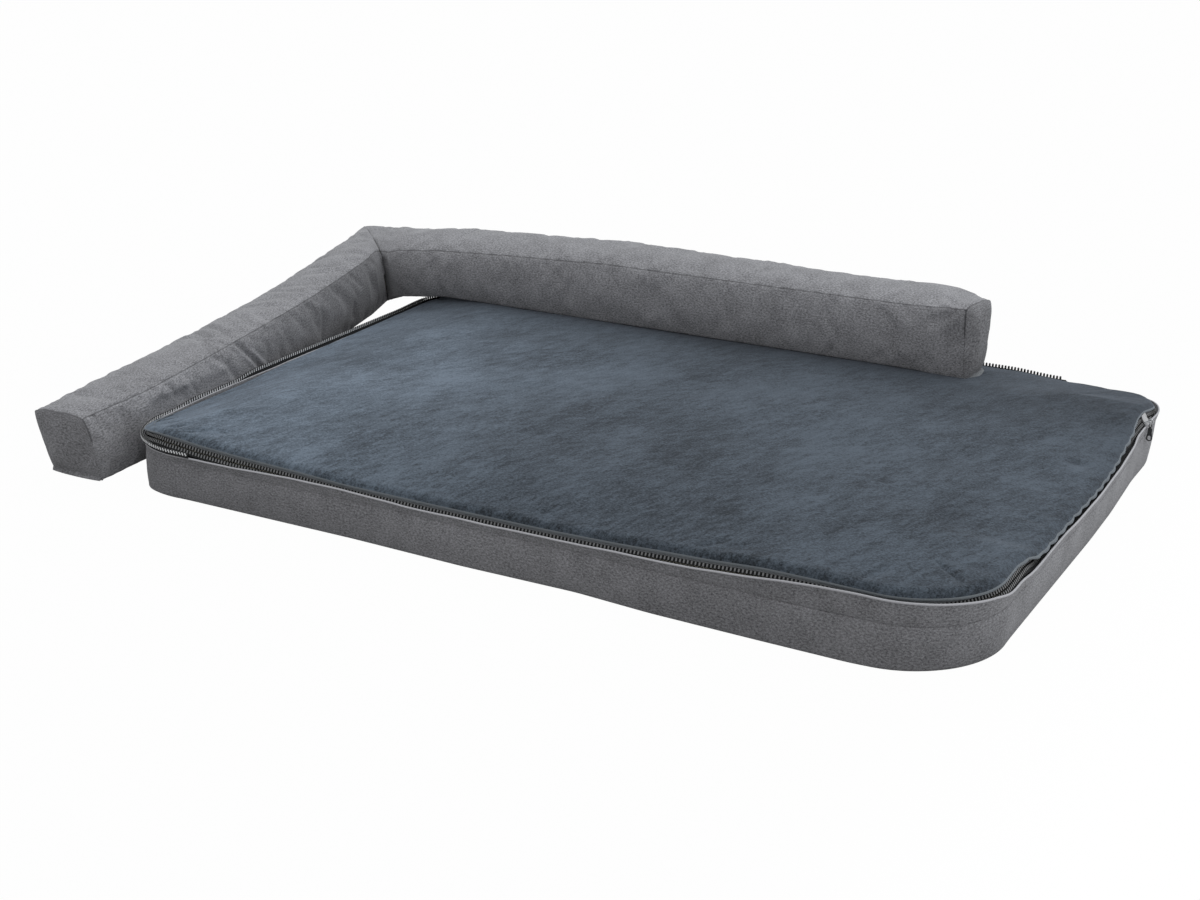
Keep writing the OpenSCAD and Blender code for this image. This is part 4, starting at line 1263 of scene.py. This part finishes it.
SKIN = 1.5
FILL_GAP = 6.5
FILL_WIDTH = 85.0
FILL_HEIGHT = 77.0
BACK_ARM = 892.0
LEFT_ARM = 644.0
CORNER = (-604.0, 294.0)
CORNER_HEIGHT = 57.0
REST_HEIGHT = 75.277
END_TAPER = 85.0
FACE_STEPS = 12
RING = 4 * FACE_STEPS
LEFT_KNEE = -94.0
BACK_KNEE = 78.0
LEFT_LEAN = 53
LEFT_BEND = 1.8
LEFT_END_WIDTH = 70.0
RIGHT_END_WIDTH = 52.0
LID_END = -455
SQUEEZED_AT = -450
SQUEEZE = 14
SWELL_OUTER, SWELL_TOP, SWELL_INNER = 7, 8, 7.5
SWELL_FLATNESS = 3.6
CORNER_PULL = 10
CORNER_PULL_REACH = 100


def arm_tall(x):
    """Height of the filling at an x; it is squeezed where it bends over the lid's edge."""
    return FILL_HEIGHT - SQUEEZE * max(0.0, 1 - abs(x - SQUEEZED_AT) / 250)


def arm_base(x):
    """Height of the back arm's underside at an x: on the lid, then sinking to the corner."""
    return mix(REST_HEIGHT, CORNER_HEIGHT, clamp((LID_END - x) / (LID_END - CORNER[0])))


def arm_stop(s):
    """Frame of the bolster at s: below 0 on the left arm, above 0 on the back arm.

    It holds the middle of the underside, the directions outward and up, the width, the height
    and how far the section has opened from the pinched end.
    """
    if s > 0:
        x = CORNER[0] + s
        opened = smooth(((BACK_ARM - s) / END_TAPER) ** 0.6)
        wide = mix(RIGHT_END_WIDTH, FILL_WIDTH, opened)
        return (np.array((x, CORNER[1] - (FILL_WIDTH - wide) / 2, arm_base(x) + SKIN)),
                np.array((0.0, 1.0, 0.0)), np.array((0.0, 0.0, 1.0)), wide, arm_tall(x), opened)
    along = LEFT_ARM + s
    share = along / LEFT_ARM
    slope = LEFT_LEAN * LEFT_BEND * max(share, 1e-6) ** (LEFT_BEND - 1) / LEFT_ARM
    opened = smooth(along / END_TAPER)
    return (np.array((CORNER[0] + LEFT_LEAN * (1 - share ** LEFT_BEND),
                      CORNER[1] - LEFT_ARM + along, CORNER_HEIGHT * share + SKIN)),
            np.array((-1.0, -slope, 0.0)) / hypot(1, slope),
            np.array((0.0, -0.25 * (1 - opened), 1.0)),
            mix(LEFT_END_WIDTH, FILL_WIDTH, opened),
            mix(FILL_HEIGHT, arm_tall(CORNER[0]), share ** 2), opened)


def mitre_stop():
    """Frame of the bolster at its corner, along the mitre between the two arms."""
    left, back = arm_stop(-0.001)[1], np.array((0.0, 1.0, 0.0))
    mitre = unit(left + back)
    return (np.array((*CORNER, CORNER_HEIGHT + SKIN)), mitre / (mitre @ back),
            np.array((0.0, 0.0, 1.0)), FILL_WIDTH, arm_tall(CORNER[0]), 1.0)


def arm_mix(s, at_stop):
    """A value at s, which runs straight from the last knee of an arm to the mitre."""
    if LEFT_KNEE < s < BACK_KNEE:
        knee = LEFT_KNEE if s < 0 else BACK_KNEE
        return mix(at_stop(mitre_stop()), at_stop(arm_stop(knee)), s / knee)
    return at_stop(arm_stop(s))


def arm_curve(*stops):
    """A curve of values through (s, value) stops along the bolster."""
    return lambda s: float(np.interp(s, *zip(*stops)))


# How far the two top seams of the bolster lie above or below a plain box
outer_lift = arm_curve((-644, 0), (-560, -3), (-420, -8), (-220, -11), (-110, -6.5), (-60, -3),
                       (-20, 1), (0, 4), (60, 8), (113, 11), (220, 11), (314, 9), (490, 6),
                       (608, 4.5), (700, 1.5), (790, 2), (850, 5), (892, 2))
inner_lift = arm_curve((-644, 0), (-240, 0), (-150, 3), (-80, 6), (-30, 2), (0, -4), (35, -6),
                       (70, -4), (110, -2.4), (160, -0.5), (250, 0), (344, -1.5), (470, -2),
                       (892, 0))


def arm_section(s, grow):
    """Points round the bolster at s: underside, outer side, top and inner side."""
    up_out, up_in = outer_lift(s) - (2 if s < 0 else 1), inner_lift(s)
    at_mitre = max(0.0, 1 - abs(s) / 30)

    def at_stop(stop):
        """The points at one frame of the bolster."""
        middle, outward, up, wide, tall, opened = stop
        w, low, high = wide / 2 + grow, -grow, tall + grow
        points = []
        for side in range(4):
            for t in steps:
                swell = (1 - abs(2 * t - 1) ** SWELL_FLATNESS) * max(opened, 0.45)
                if side == 0:
                    u, v = mix(-w, w, t), low
                elif side == 1:
                    u, v = w + SWELL_OUTER * swell, mix(low, high + up_out, t)
                elif side == 2:
                    u = mix(w, -w, t)
                    v = (high + mix(up_out, up_in, t)
                         + SWELL_TOP * swell * (1 - 0.5 * at_mitre))
                else:
                    u = -w - SWELL_INNER * swell * (1 - 0.8 * at_mitre)
                    v = mix(high + up_in, low, t)
                points.append(middle + u * outward + v * up)
        points = np.array(points)
        height = np.concatenate([np.full(FACE_STEPS, 0.0), steps, np.full(FACE_STEPS, 1.0),
                                 1 - steps])
        inner = np.concatenate([np.full(2 * FACE_STEPS, 0.0), steps, 1 - steps])
        points[:, 0] -= CORNER_PULL * max(0.0, 1 - abs(s) / CORNER_PULL_REACH) * inner
        if s > BACK_ARM - END_TAPER:
            points += (1 - smooth((BACK_ARM - s) / END_TAPER)) * cap_shift(points, height)
        return points

    even = np.arange(FACE_STEPS) / FACE_STEPS
    steps = mix(even, (1 - np.cos(pi * even)) / 2, 0.6)
    return arm_mix(s, at_stop)


def cap_shift(points, height):
    """The right end is wider at its top than at its base, and its top leans outwards."""
    behind = np.clip((points[:, 1] - 249) / 55, 0, 1)
    return np.stack((mix(mix(-3.0, -1.5, behind), mix(-6.0, 3.0, behind), height),
                     mix(-1.0, 6.0, height) * behind,
                     mix(mix(-3.7, -4.5, behind), mix(3.0, -1.5, behind), height)), axis=1)


def arm_stations(step=7.0):
    """Stations of both arms; the middle one, at the mitre, is returned as well."""
    left = list(np.linspace(-LEFT_ARM, LEFT_KNEE, round((LEFT_ARM + LEFT_KNEE) / step) + 1))
    left += list(np.linspace(LEFT_KNEE, 0, round(-LEFT_KNEE / step) + 1))[1:]
    back = list(np.linspace(0, BACK_KNEE, round(BACK_KNEE / step) + 1))[1:]
    back += list(np.linspace(BACK_KNEE, BACK_ARM, round((BACK_ARM - BACK_KNEE) / step) + 1))[1:]
    return left + back, len(left) - 1


def cap_grid(ring, bulge, way):
    """A square grid over an end, whose border is the ring of points there."""
    n = FACE_STEPS
    base, outer, top, inner = (ring[k * n:(k + 1) * n + 1] if k < 3 else
                               np.concatenate((ring[3 * n:], ring[:1])) for k in range(4))
    top, inner = top[::-1], inner[::-1]
    grid = np.zeros((n + 1, n + 1, 3))
    for i in range(n + 1):
        v = i / n
        for j in range(n + 1):
            u = j / n
            grid[i, j] = (mix(base[j], top[j], v) + mix(inner[i], outer[i], u)
                          - mix(mix(base[0], base[n], u), mix(top[0], top[n], u), v)
                          + np.array(way) * bulge * (1 - abs(2 * u - 1) ** 3)
                          * (1 - abs(2 * v - 1) ** 3))
    return grid


SWELL_FRAMES = 20
COMB_GAP = 5.2
COMB_GAP_TOP = 77


def clear_of_comb(points):
    """The left arm's cloth is held just outside the mattress's upright comb."""
    reach = np.abs(points[..., :2]) - (HALF_LENGTH - CORNER_RADIUS, HALF_DEPTH - CORNER_RADIUS)
    reach = np.maximum(reach, 1e-6)
    far = np.linalg.norm(reach, axis=-1)
    short = CORNER_RADIUS + COMB_GAP - far
    near = (short > 0) & (short < 14) & (points[..., 0] < -400) & (points[..., 1] < 200)
    push = short * near * np.clip((COMB_GAP_TOP - points[..., 2]) / 9, 0, 1) / far
    held = points.copy()
    held[..., :2] += reach * np.sign(points[..., :2]) * push[..., None]
    return held


def swell_cloth(points, faces, sewn, pressure, growth, cap):
    """Runs a cloth simulation under pressure and returns where the points come to rest."""
    obj = new_object("swelling", points, faces)
    group = obj.vertex_groups.new(name="sewn")
    for weight in sorted(set(sewn.tolist())):
        if weight > 0:
            group.add(np.flatnonzero(sewn == weight).tolist(), float(weight), "REPLACE")
    cloth = obj.modifiers.new("Cloth", "CLOTH")
    settings = cloth.settings
    settings.quality = 6
    settings.mass = 0.3
    settings.air_damping = 3.0
    settings.tension_stiffness = settings.compression_stiffness = 14.0
    settings.shear_stiffness = 6.0
    settings.bending_stiffness = 0.8
    settings.shrink_min = -growth
    settings.use_pressure = True
    settings.uniform_pressure_force = pressure
    settings.vertex_group_mass = "sewn"
    settings.pin_stiffness = 1.0
    settings.effector_weights.gravity = 0.0
    cloth.collision_settings.use_collision = False
    cloth.collision_settings.use_self_collision = False
    cloth.point_cache.frame_start = 1
    cloth.point_cache.frame_end = SWELL_FRAMES
    scene = bpy.context.scene
    for number in range(1, SWELL_FRAMES + 1):
        scene.frame_set(number)
    settled = obj.evaluated_get(bpy.context.evaluated_depsgraph_get()).to_mesh()
    moved = np.zeros(len(points) * 3)
    settled.vertices.foreach_get("co", moved)
    moved = moved.reshape(-1, 3) / MM - points
    bpy.data.objects.remove(obj)
    scene.frame_set(1)
    length = np.linalg.norm(moved, axis=1, keepdims=True)
    return points + moved * np.minimum(1.0, cap / np.maximum(length, 1e-9))


def refine(grid):
    """One subdivision of a grid by smooth curves through its points, along both ways."""
    for axis in (0, 1):
        g = np.moveaxis(grid, axis, 0)
        first, last = 2 * g[0] - g[1], 2 * g[-1] - g[-2]
        g2 = np.concatenate((first[None], g, last[None]))
        between = (9 * (g2[1:-2] + g2[2:-1]) - g2[:-3] - g2[3:]) / 16
        out = np.zeros((2 * len(g) - 1, *g.shape[1:]))
        out[::2], out[1::2] = g, between
        grid = np.moveaxis(out, 0, axis)
    return grid


SIDES = ("base", "outer", "top", "inner")

# Folds of a side: s and share across the side at one end and at the other, half width and depth
FOLDS = {
    "inner": (
        (-20, 0.02, -30, 0.5, 7, 3.6), (-12, 0.2, -22, 0.45, 4, 2.2),
        (-412, 0.0, -366, 0.72, 3.6, 4.2), (-402, 0.05, -360, 0.55, 4.0, 1.6),
        (-455, 0.04, -432, 0.3, 4.5, 2.4), (-436, 0.25, -418, 0.62, 4.5, 2.6),
        (-540, 0.05, -520, 0.45, 4.5, 2.0), (-525, 0.15, -508, 0.5, 4.5, 1.3),
        (-508, 0.05, -492, 0.5, 4.5, 1.8), (-330, 0.1, -300, 0.7, 6, 1.2),
        (-260, 0.1, -240, 0.7, 6, 1.6), (-190, 0.1, -170, 0.6, 7, 2.0),
        (-110, 0.15, -95, 0.7, 7, 1.8), (878, 0.05, 840, 0.3, 6, 2.2),
        (886, 0.25, 862, 0.45, 4, 1.4), (886, 0.4, 868, 0.6, 4, 1.2)),
    "top": (
        (-410, 1.0, -372, 0.02, 4.5, 2.6), (-420, 0.66, -398, 0.02, 4.5, 2.0),
        (-362, 0.9, -327, 0.02, 5.5, 2.8), (-250, 0.9, -300, 0.3, 8, 1.6),
        (-160, 0.95, -190, 0.35, 8, 2.0), (-90, 0.95, -110, 0.4, 8, 1.9),
        (884, 0.95, 850, 0.65, 5, 2.4), (886, 0.6, 862, 0.4, 4, 1.6)),
}


def fold_depth(side, s, across, width):
    """Depth of all folds of a side at a point, given its s and distance across the side."""
    total = np.zeros_like(s)
    for s0, t0, s1, t1, half, depth in FOLDS.get(side, ()):
        a = np.array((s0, t0 * width))
        b = np.array((s1, t1 * width))
        d = b - a
        share = np.clip(((s - a[0]) * d[0] + (across - a[1]) * d[1]) / (d @ d), 0, 1)
        away = np.hypot(s - a[0] - share * d[0], across - a[1] - share * d[1]) / half
        total += depth * np.sin(pi * np.clip(share * 0.86 + 0.14, 0, 1)) * (
            np.exp(-away ** 2) - 0.45 * np.exp(-(away - 1.9) ** 2))
    return total


def panel_painted_shading(side, s):
    """How much lighter or darker a panel's cloth is painted along the bolster, as painted light
    and shade for how light falls on it.
    """
    if side == "top":
        return np.interp(s, (-644, -450, -300, 0, 100, 500, 892),
                         (-0.02, 0.02, 0.06, 0.06, 0.11, 0.05, 0.13))
    if side != "inner":
        return np.zeros_like(s)
    return np.interp(s, (-644, -500, -350, -150, 0, 5, 100, 800, 892),
                     (0.31, 0.27, -0.1, -0.3, -0.36, 0.0, 0.09, 0.16, 0.0))


class DOGBED_OT_bolster(bpy.types.Operator):
    """Swell the bolster's cover by a cloth simulation and cut it into its sewn panels"""
    bl_idname = "dogbed.bolster"
    bl_label = "Bolster Cover"

    def execute(self, context):
        stations, mitre = arm_stations()
        rings = np.array([arm_section(s, SKIN) for s in stations])
        start_cap = cap_grid(rings[0], bulge=4.0, way=(0, -1, 0))
        end_cap = cap_grid(rings[-1], bulge=8.0, way=(1, 0, 0))
        rings, start_cap, end_cap = self.swell(rings, start_cap, end_cap, mitre)
        self.panels(rings, np.array(stations), mitre)
        # The end caps are painted a little lighter at the left end and darker at the right end, as
        # painted light and shade
        self.cap("left_end_cap_cloth", start_cap, "left_end_cap", weave=0.03)
        self.cap("right_end_cap_cloth", end_cap[:, ::-1], "right_end_cap", weave=-0.2)
        self.flap("left_end_flap", rings[0, :FACE_STEPS + 1], (0, -1, 0), flare=7.0, tall=10.5,
                  slot="heather_cloth")
        self.flap("right_end_flap", rings[-1, :FACE_STEPS + 1], (1, 0, 0), flare=9.0, tall=5.5,
                  slot="zip_tape")
        return {"FINISHED"}

    def flap(self, name, border, way, flare, tall, slot):
        """The loose strip of cloth below an end's lower seam, which flares outwards."""
        way = np.array(way, dtype=float)
        count = len(border)
        rows = ((tall, 0.1), (tall * 0.7, 0.35), (tall * 0.4, 0.75), (1.2, 1.0))
        low = SKIN - 0.4
        bulge = [0.55 + 0.45 * sin(pi * j / (count - 1)) for j in range(count)]
        outer = np.array([[border[j] + way * (0.6 + share * flare * bulge[j])
                           + np.array((0, 0, up - low)) for up, share in rows]
                          for j in range(count)])
        uv = np.array([[(j * 7.0, up) for up, _ in rows] for j in range(count)])
        edge = np.array([[1.2] + [PLAIN] * (len(rows) - 1)] * count)
        grid_shell(name, refine(outer), 1.0, finish(slot), "bolster", (), refine(uv),
                   refine(edge[..., None])[..., 0])

    def swell(self, rings, start_cap, end_cap, mitre):
        """The seams and the mitre stay put, and the cloth between them swells and wrinkles."""
        rows, columns, _ = rings.shape
        points = list(rings.reshape(-1, 3))
        sewn = np.zeros((rows, columns))
        sewn[:, :FACE_STEPS] = 0.9
        sewn[:, ::FACE_STEPS] = 1.0
        sewn[0] = sewn[-1] = 1.0
        sewn[mitre] = 0.9
        sewn = list(sewn.ravel())
        faces = quad_strip(rows, columns)
        n = FACE_STEPS
        cap_ids = []
        for grid, first in ((start_cap, 0), (end_cap, (rows - 1) * columns)):
            step = np.arange(n + 1)
            inside = grid[1:-1, 1:-1].reshape(-1, 3)
            ids = np.zeros((n + 1, n + 1), dtype=int)
            ids[0] = first + step
            ids[:, -1] = first + n + step
            ids[-1] = first + 3 * n - step
            ids[1:-1, 0] = first + 4 * n - step[1:-1]
            ids[1:-1, 1:-1] = len(points) + np.arange(len(inside)).reshape(n - 1, n - 1)
            points += list(inside)
            sewn += [0.0] * len(inside)
            cap_ids.append(ids)
            for i in range(n):
                for j in range(n):
                    faces.append((ids[i, j], ids[i, j + 1], ids[i + 1, j + 1], ids[i + 1, j]))
        settled = swell_cloth(np.array(points), [tuple(int(v) for v in f) for f in faces],
                              np.array(sewn), pressure=4.0, growth=0.01, cap=6.0)
        settled[:, 2] = np.maximum(settled[:, 2], 1.0)
        settled = clear_of_comb(settled)
        return (settled[:rows * columns].reshape(rows, columns, 3), settled[cap_ids[0]],
                settled[cap_ids[1]])

    def panels(self, rings, stations, mitre):
        """Cuts each arm into its four sides, with their folds and with seams drawn in."""
        cloth = finish("heather_cloth")
        n = FACE_STEPS
        for arm, rows in (("left", slice(0, mitre + 1)), ("back", slice(mitre, None))):
            for k, side in enumerate(SIDES):
                s = refine(np.repeat(stations[rows, None], n + 1, axis=1)[..., None])[..., 0]
                columns = [(k * n + j) % RING for j in range(n + 1)]
                fine = arm == "left" and side in ("top", "inner")
                grid = refine(rings[rows][:, columns])
                if fine:
                    grid, s = refine(grid), refine(s[..., None])[..., 0]
                steps = np.linalg.norm(np.diff(grid, axis=1), axis=2)
                across = np.concatenate((np.zeros((len(grid), 1)), np.cumsum(steps, axis=1)), 1)
                width = float(np.median(across[:, -1]))
                edge = np.minimum(across, across[:, -1:] - across)
                ends = np.minimum(abs(s - s[0, 0]), abs(s - s[-1, 0]))
                share = across / across[:, -1:]
                faint = np.where(abs(s) < 60, 0.8, 0.0) if side == "top" else np.where(
                    (share > 0.38) & (abs(s) > 60), 1.5, 0.0)
                edge = np.minimum(edge, ends + 0.01 + faint)
                depth = fold_depth(side, s, share * width, width)
                depth *= np.clip(edge / 6, 0, 1)
                depth += 0.8 * np.clip(1 - edge / 2.5, 0, 1)
                grid = clear_of_comb(grid + inward_of(grid) * depth[..., None])
                grid_shell(f"{arm}_{side}_cloth", grid, CLOTH, cloth, "bolster",
                           (f"{arm}_{side}_panel",), np.stack((s, across + 200 * k), axis=2),
                           edge, weave=panel_painted_shading(side, s))

    def cap(self, name, grid, node, weave):
        """The sewn panel that closes an end."""
        grid = refine(grid)
        rows, columns, _ = grid.shape
        i, j = np.meshgrid(np.arange(rows), np.arange(columns), indexing="ij")
        beside = np.minimum(j, columns - 1 - j) * 3.2 + np.where(i < rows * 0.6, 1.5, 0)
        edge = np.minimum(np.minimum(i * 3.2 + 1.5, (rows - 1 - i) * 3.2), beside)
        side = np.linalg.norm(grid[0, -1] - grid[0, 0]), np.linalg.norm(grid[-1, 0] - grid[0, 0])
        uv = np.stack((j / columns * side[0], i / rows * side[1]), axis=2)
        grid_shell(name, grid, CLOTH, finish("heather_cloth"), "bolster",
                   (node,), uv, edge.astype(float), weave=np.full((rows, columns), weave))


class DOGBED_OT_filling(bpy.types.Operator):
    """Make the fibre filling of the bolster's two arms"""
    bl_idname = "dogbed.filling"
    bl_label = "Bolster Filling"

    def execute(self, context):
        stations, mitre = arm_stations(step=14.0)
        for name, node, part in (("left_filling", "left_fill", stations[:mitre + 1]),
                                 ("back_filling", "back_fill", stations[mitre:])):
            rings = np.array([arm_section(s, -FILL_GAP) for s in part])
            centre = rings.mean(axis=1, keepdims=True)
            if name == "left_filling":
                rings[0] += (0, 4, 0)
                rings[-1] = centre[-1] + (rings[-1] - centre[-1]) * 0.98
            else:
                rings[-1] += (-4, 0, 0)
            points = list(rings.reshape(-1, 3)) + [rings[0].mean(axis=0), rings[-1].mean(axis=0)]
            filling = make_piece(name, points, tube_faces(len(rings), RING), finish("foam"),
                                 "bolster", (node,))
        return {"FINISHED"}


BOLSTER_TOOTH = (2.4, 3.8, 3.0, 0.5)
TEETH_OUT = 12.35
TEETH_UP = 1.8


def hem_place(s, out, up):
    """A point beside the bolster's lower outer seam, out from it and above its underside."""
    out *= mix(0.2, 1, smooth((s + LEFT_ARM - 4) / 26))
    return arm_mix(s, lambda stop: stop[0] + (stop[3] / 2 + SKIN + out) * stop[1]
                   + (up - SKIN) * np.array((0.0, 0.0, 1.0)))


class DOGBED_OT_bolster_zip(bpy.types.Operator):
    """Make the tape and teeth along the bolster's lower outer seam"""
    bl_idname = "dogbed.bolster_zip"
    bl_label = "Bolster Zip"

    def execute(self, context):
        stations, _ = arm_stations(step=8.0)
        section = ((0.2, 1.4), (5.5, 1.2), (11.8, 1.4), (12.2, 1.8), (11.8, 2.2), (5.5, 2.0),
                   (0.2, 2.2))
        points = [hem_place(s, out, up) for s in stations for out, up in section]
        uv = [(s, out + up) for s in stations for out, up in section]
        count = len(section)
        faces = quad_strip(len(stations), count) + strip_ends(count, len(points))
        make_piece("bolster_tape_cloth", points, faces, finish("zip_tape"), "bolster",
                   ("bolster_zip_tape",), uv, [PLAIN] * len(points), 50)
        pitch = context.scene.dog_mattress.tooth_pitch / MM
        tooth = model_tooth(*BOLSTER_TOOTH)
        places = []
        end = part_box("bolster_zip_teeth")[1][0] / MM - CORNER[0] - 2
        s = -LEFT_ARM + 24
        while s < end:
            here, ahead = (hem_place(at, TEETH_OUT, TEETH_UP) for at in (s, s + 1.0))
            outward = unit(hem_place(s, 14, TEETH_UP) - here)
            along = ahead - here
            along = unit(along - outward * (along @ outward))
            places.append((here, along, outward, np.cross(along, outward)))
            s += pitch
        copy_row("bolster_teeth_row", tooth, places, finish("zip_teeth"), "bolster",
                 ("bolster_zip_teeth",))
        return {"FINISHED"}


# ---- The stage

LENS = 52.14
KEY_FROM = (0.19, 0.36, 0.90)
KEY_STRENGTH = 1.32
KEY_SPREAD = 50
EVEN_COLOUR = (0.965, 0.98, 1.0, 1)
EVEN_STRENGTH = 0.70
CAMERA_PLACE = (0.8767, -1.6590, 0.7197)
CAMERA_YAW, CAMERA_PITCH, CAMERA_ROLL = radians(-29.66), radians(20.59), radians(-0.32)


class DOGBED_OT_stage(bpy.types.Operator):
    """Set up the floor, the soft studio light and the camera"""
    bl_idname = "dogbed.stage"
    bl_label = "Stage"

    def execute(self, context):
        scene = context.scene
        scene.view_settings.view_transform = "Standard"
        self.camera(scene)
        self.floor()
        self.world(scene)
        self.sun("key_light", KEY_FROM, KEY_STRENGTH, KEY_SPREAD)
        return {"FINISHED"}

    def camera(self, scene):
        """Matches the photograph with a 52 mm lens on a 36 mm wide sensor."""
        yaw, pitch, roll = CAMERA_YAW, CAMERA_PITCH, CAMERA_ROLL
        ahead = Vector((sin(yaw) * cos(pitch), cos(yaw) * cos(pitch), -sin(pitch)))
        level = Vector((cos(yaw), -sin(yaw), 0))
        upright = level.cross(ahead)
        side = level * cos(roll) + upright * sin(roll)
        up = upright * cos(roll) - level * sin(roll)
        lens = bpy.data.cameras.new("camera")
        lens.lens, lens.sensor_width, lens.sensor_fit = LENS, 36, "HORIZONTAL"
        lens.clip_start, lens.clip_end = 0.05, 60
        camera = bpy.data.objects.new("camera", lens)
        turn = Matrix((side, up, -ahead)).transposed().to_4x4()
        camera.matrix_world = Matrix.Translation(CAMERA_PLACE) @ turn
        scene.collection.objects.link(camera)
        scene.camera = camera

    def floor(self):
        """A wide plane just below the mattress."""
        bpy.ops.object.select_all(action="DESELECT")
        bpy.ops.mesh.primitive_plane_add(size=24, location=(0, 0, 0))
        ground = bpy.context.object
        ground.name = "floor"
        for v in ground.data.vertices:
            v.co.z = -0.0004
        ground.data.materials.append(floor_finish())
        ground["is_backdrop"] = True

    def world(self, scene):
        """White to the camera, and an even light of less than half that on the object."""
        world = bpy.data.worlds.new("studio")
        scene.world = world
        world.use_nodes = True
        tree = world.node_tree
        tree.nodes.clear()
        path = tree.nodes.new("ShaderNodeLightPath")
        seen = tree.nodes.new("ShaderNodeMath")
        seen.operation = "MAXIMUM"
        tree.links.new(path.outputs["Is Camera Ray"], seen.inputs[0])
        tree.links.new(path.outputs["Is Glossy Ray"], seen.inputs[1])
        white, even = (tree.nodes.new("ShaderNodeBackground") for _ in range(2))
        white.inputs["Color"].default_value = (1, 1, 1, 1)
        even.inputs["Color"].default_value = EVEN_COLOUR
        even.inputs["Strength"].default_value = EVEN_STRENGTH
        blend = tree.nodes.new("ShaderNodeMixShader")
        out = tree.nodes.new("ShaderNodeOutputWorld")
        tree.links.new(seen.outputs[0], blend.inputs[0])
        tree.links.new(even.outputs[0], blend.inputs[1])
        tree.links.new(white.outputs[0], blend.inputs[2])
        tree.links.new(blend.outputs[0], out.inputs["Surface"])

    def sun(self, name, source, strength, spread):
        """A soft light that comes from a direction and spreads over so many degrees."""
        light = bpy.data.lights.new(name, "SUN")
        light.energy = strength
        light.color = (0.96, 1.0, 1.03)
        light.angle = radians(spread)
        lamp = bpy.data.objects.new(name, light)
        lamp.rotation_euler = Vector(source).to_track_quat("Z", "Y").to_euler()
        bpy.context.scene.collection.objects.link(lamp)


# ---- Settings, panel and registration


class DogMattressSettings(bpy.types.PropertyGroup):
    """Sizes and colours that can be changed before the pieces are made"""
    crown: bpy.props.FloatProperty(
        name="Crown", description="Rise of the lid from its rim to its middle",
        default=5 * MM, unit="LENGTH")
    tooth_pitch: bpy.props.FloatProperty(
        name="Tooth pitch", description="Distance between two teeth of a row",
        default=TOOTH_PITCH * MM, unit="LENGTH")
    cloth_colour: bpy.props.FloatVectorProperty(
        name="Cloth", description="Colour of the grey heather cloth", subtype="COLOR",
        default=(0.215, 0.213, 0.222))
    plush_colour: bpy.props.FloatVectorProperty(
        name="Plush", description="Colour of the lid's pile", subtype="COLOR",
        default=(0.045, 0.056, 0.069))
    tape_colour: bpy.props.FloatVectorProperty(
        name="Tape", description="Colour of the zip tapes", subtype="COLOR",
        default=(0.21, 0.22, 0.23))
    # This colour is painted on the teeth's outer faces as painted light; the rest of each tooth is
    # painted nearly black
    teeth_colour: bpy.props.FloatVectorProperty(
        name="Teeth", description="Colour of the rubbed faces of the zip teeth",
        subtype="COLOR", default=(0.82, 0.83, 0.84))
    metal_colour: bpy.props.FloatVectorProperty(
        name="Metal", description="Colour of the sliders and pull rings", subtype="COLOR",
        default=(0.40, 0.41, 0.42))
    plastic_colour: bpy.props.FloatVectorProperty(
        name="Plastic", description="Colour of the tabs, the pin and the box", subtype="COLOR",
        default=(0.014, 0.015, 0.017))
    foam_colour: bpy.props.FloatVectorProperty(
        name="Foam", description="Colour of the foam and the filling", subtype="COLOR",
        default=(0.78, 0.74, 0.60))


OPERATORS = (DOGBED_OT_stage, DOGBED_OT_cover, DOGBED_OT_foam, DOGBED_OT_lid,
             DOGBED_OT_main_zip, DOGBED_OT_comb, DOGBED_OT_sliders, DOGBED_OT_bolster,
             DOGBED_OT_filling, DOGBED_OT_bolster_zip)


class DOGBED_PT_panel(bpy.types.Panel):
    """The mattress's settings and the steps that make its pieces"""
    bl_idname = "DOGBED_PT_panel"
    bl_label = "Dog Mattress"
    bl_space_type = "VIEW_3D"
    bl_region_type = "UI"
    bl_category = "Dog Mattress"

    def draw(self, context):
        settings = context.scene.dog_mattress
        for name in settings.__annotations__:
            self.layout.prop(settings, name)
        for operator in OPERATORS:
            self.layout.operator(operator.bl_idname)


CLASSES = (DogMattressSettings, *OPERATORS, DOGBED_PT_panel)


def register():
    for cls in CLASSES:
        bpy.utils.register_class(cls)
    bpy.types.Scene.dog_mattress = bpy.props.PointerProperty(type=DogMattressSettings)


def unregister():
    del bpy.types.Scene.dog_mattress
    for cls in reversed(CLASSES):
        bpy.utils.unregister_class(cls)


def main():
    """Makes every piece in turn."""
    register()
    for operator in OPERATORS:
        group, name = operator.bl_idname.split(".")
        getattr(getattr(bpy.ops, group), name)()
    boxes = {"cad": CAD_BOX, "visual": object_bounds()}
    {key: [list(corner) for corner in box] for key, box in boxes.items()}


if __name__ == "__main__":
    main()
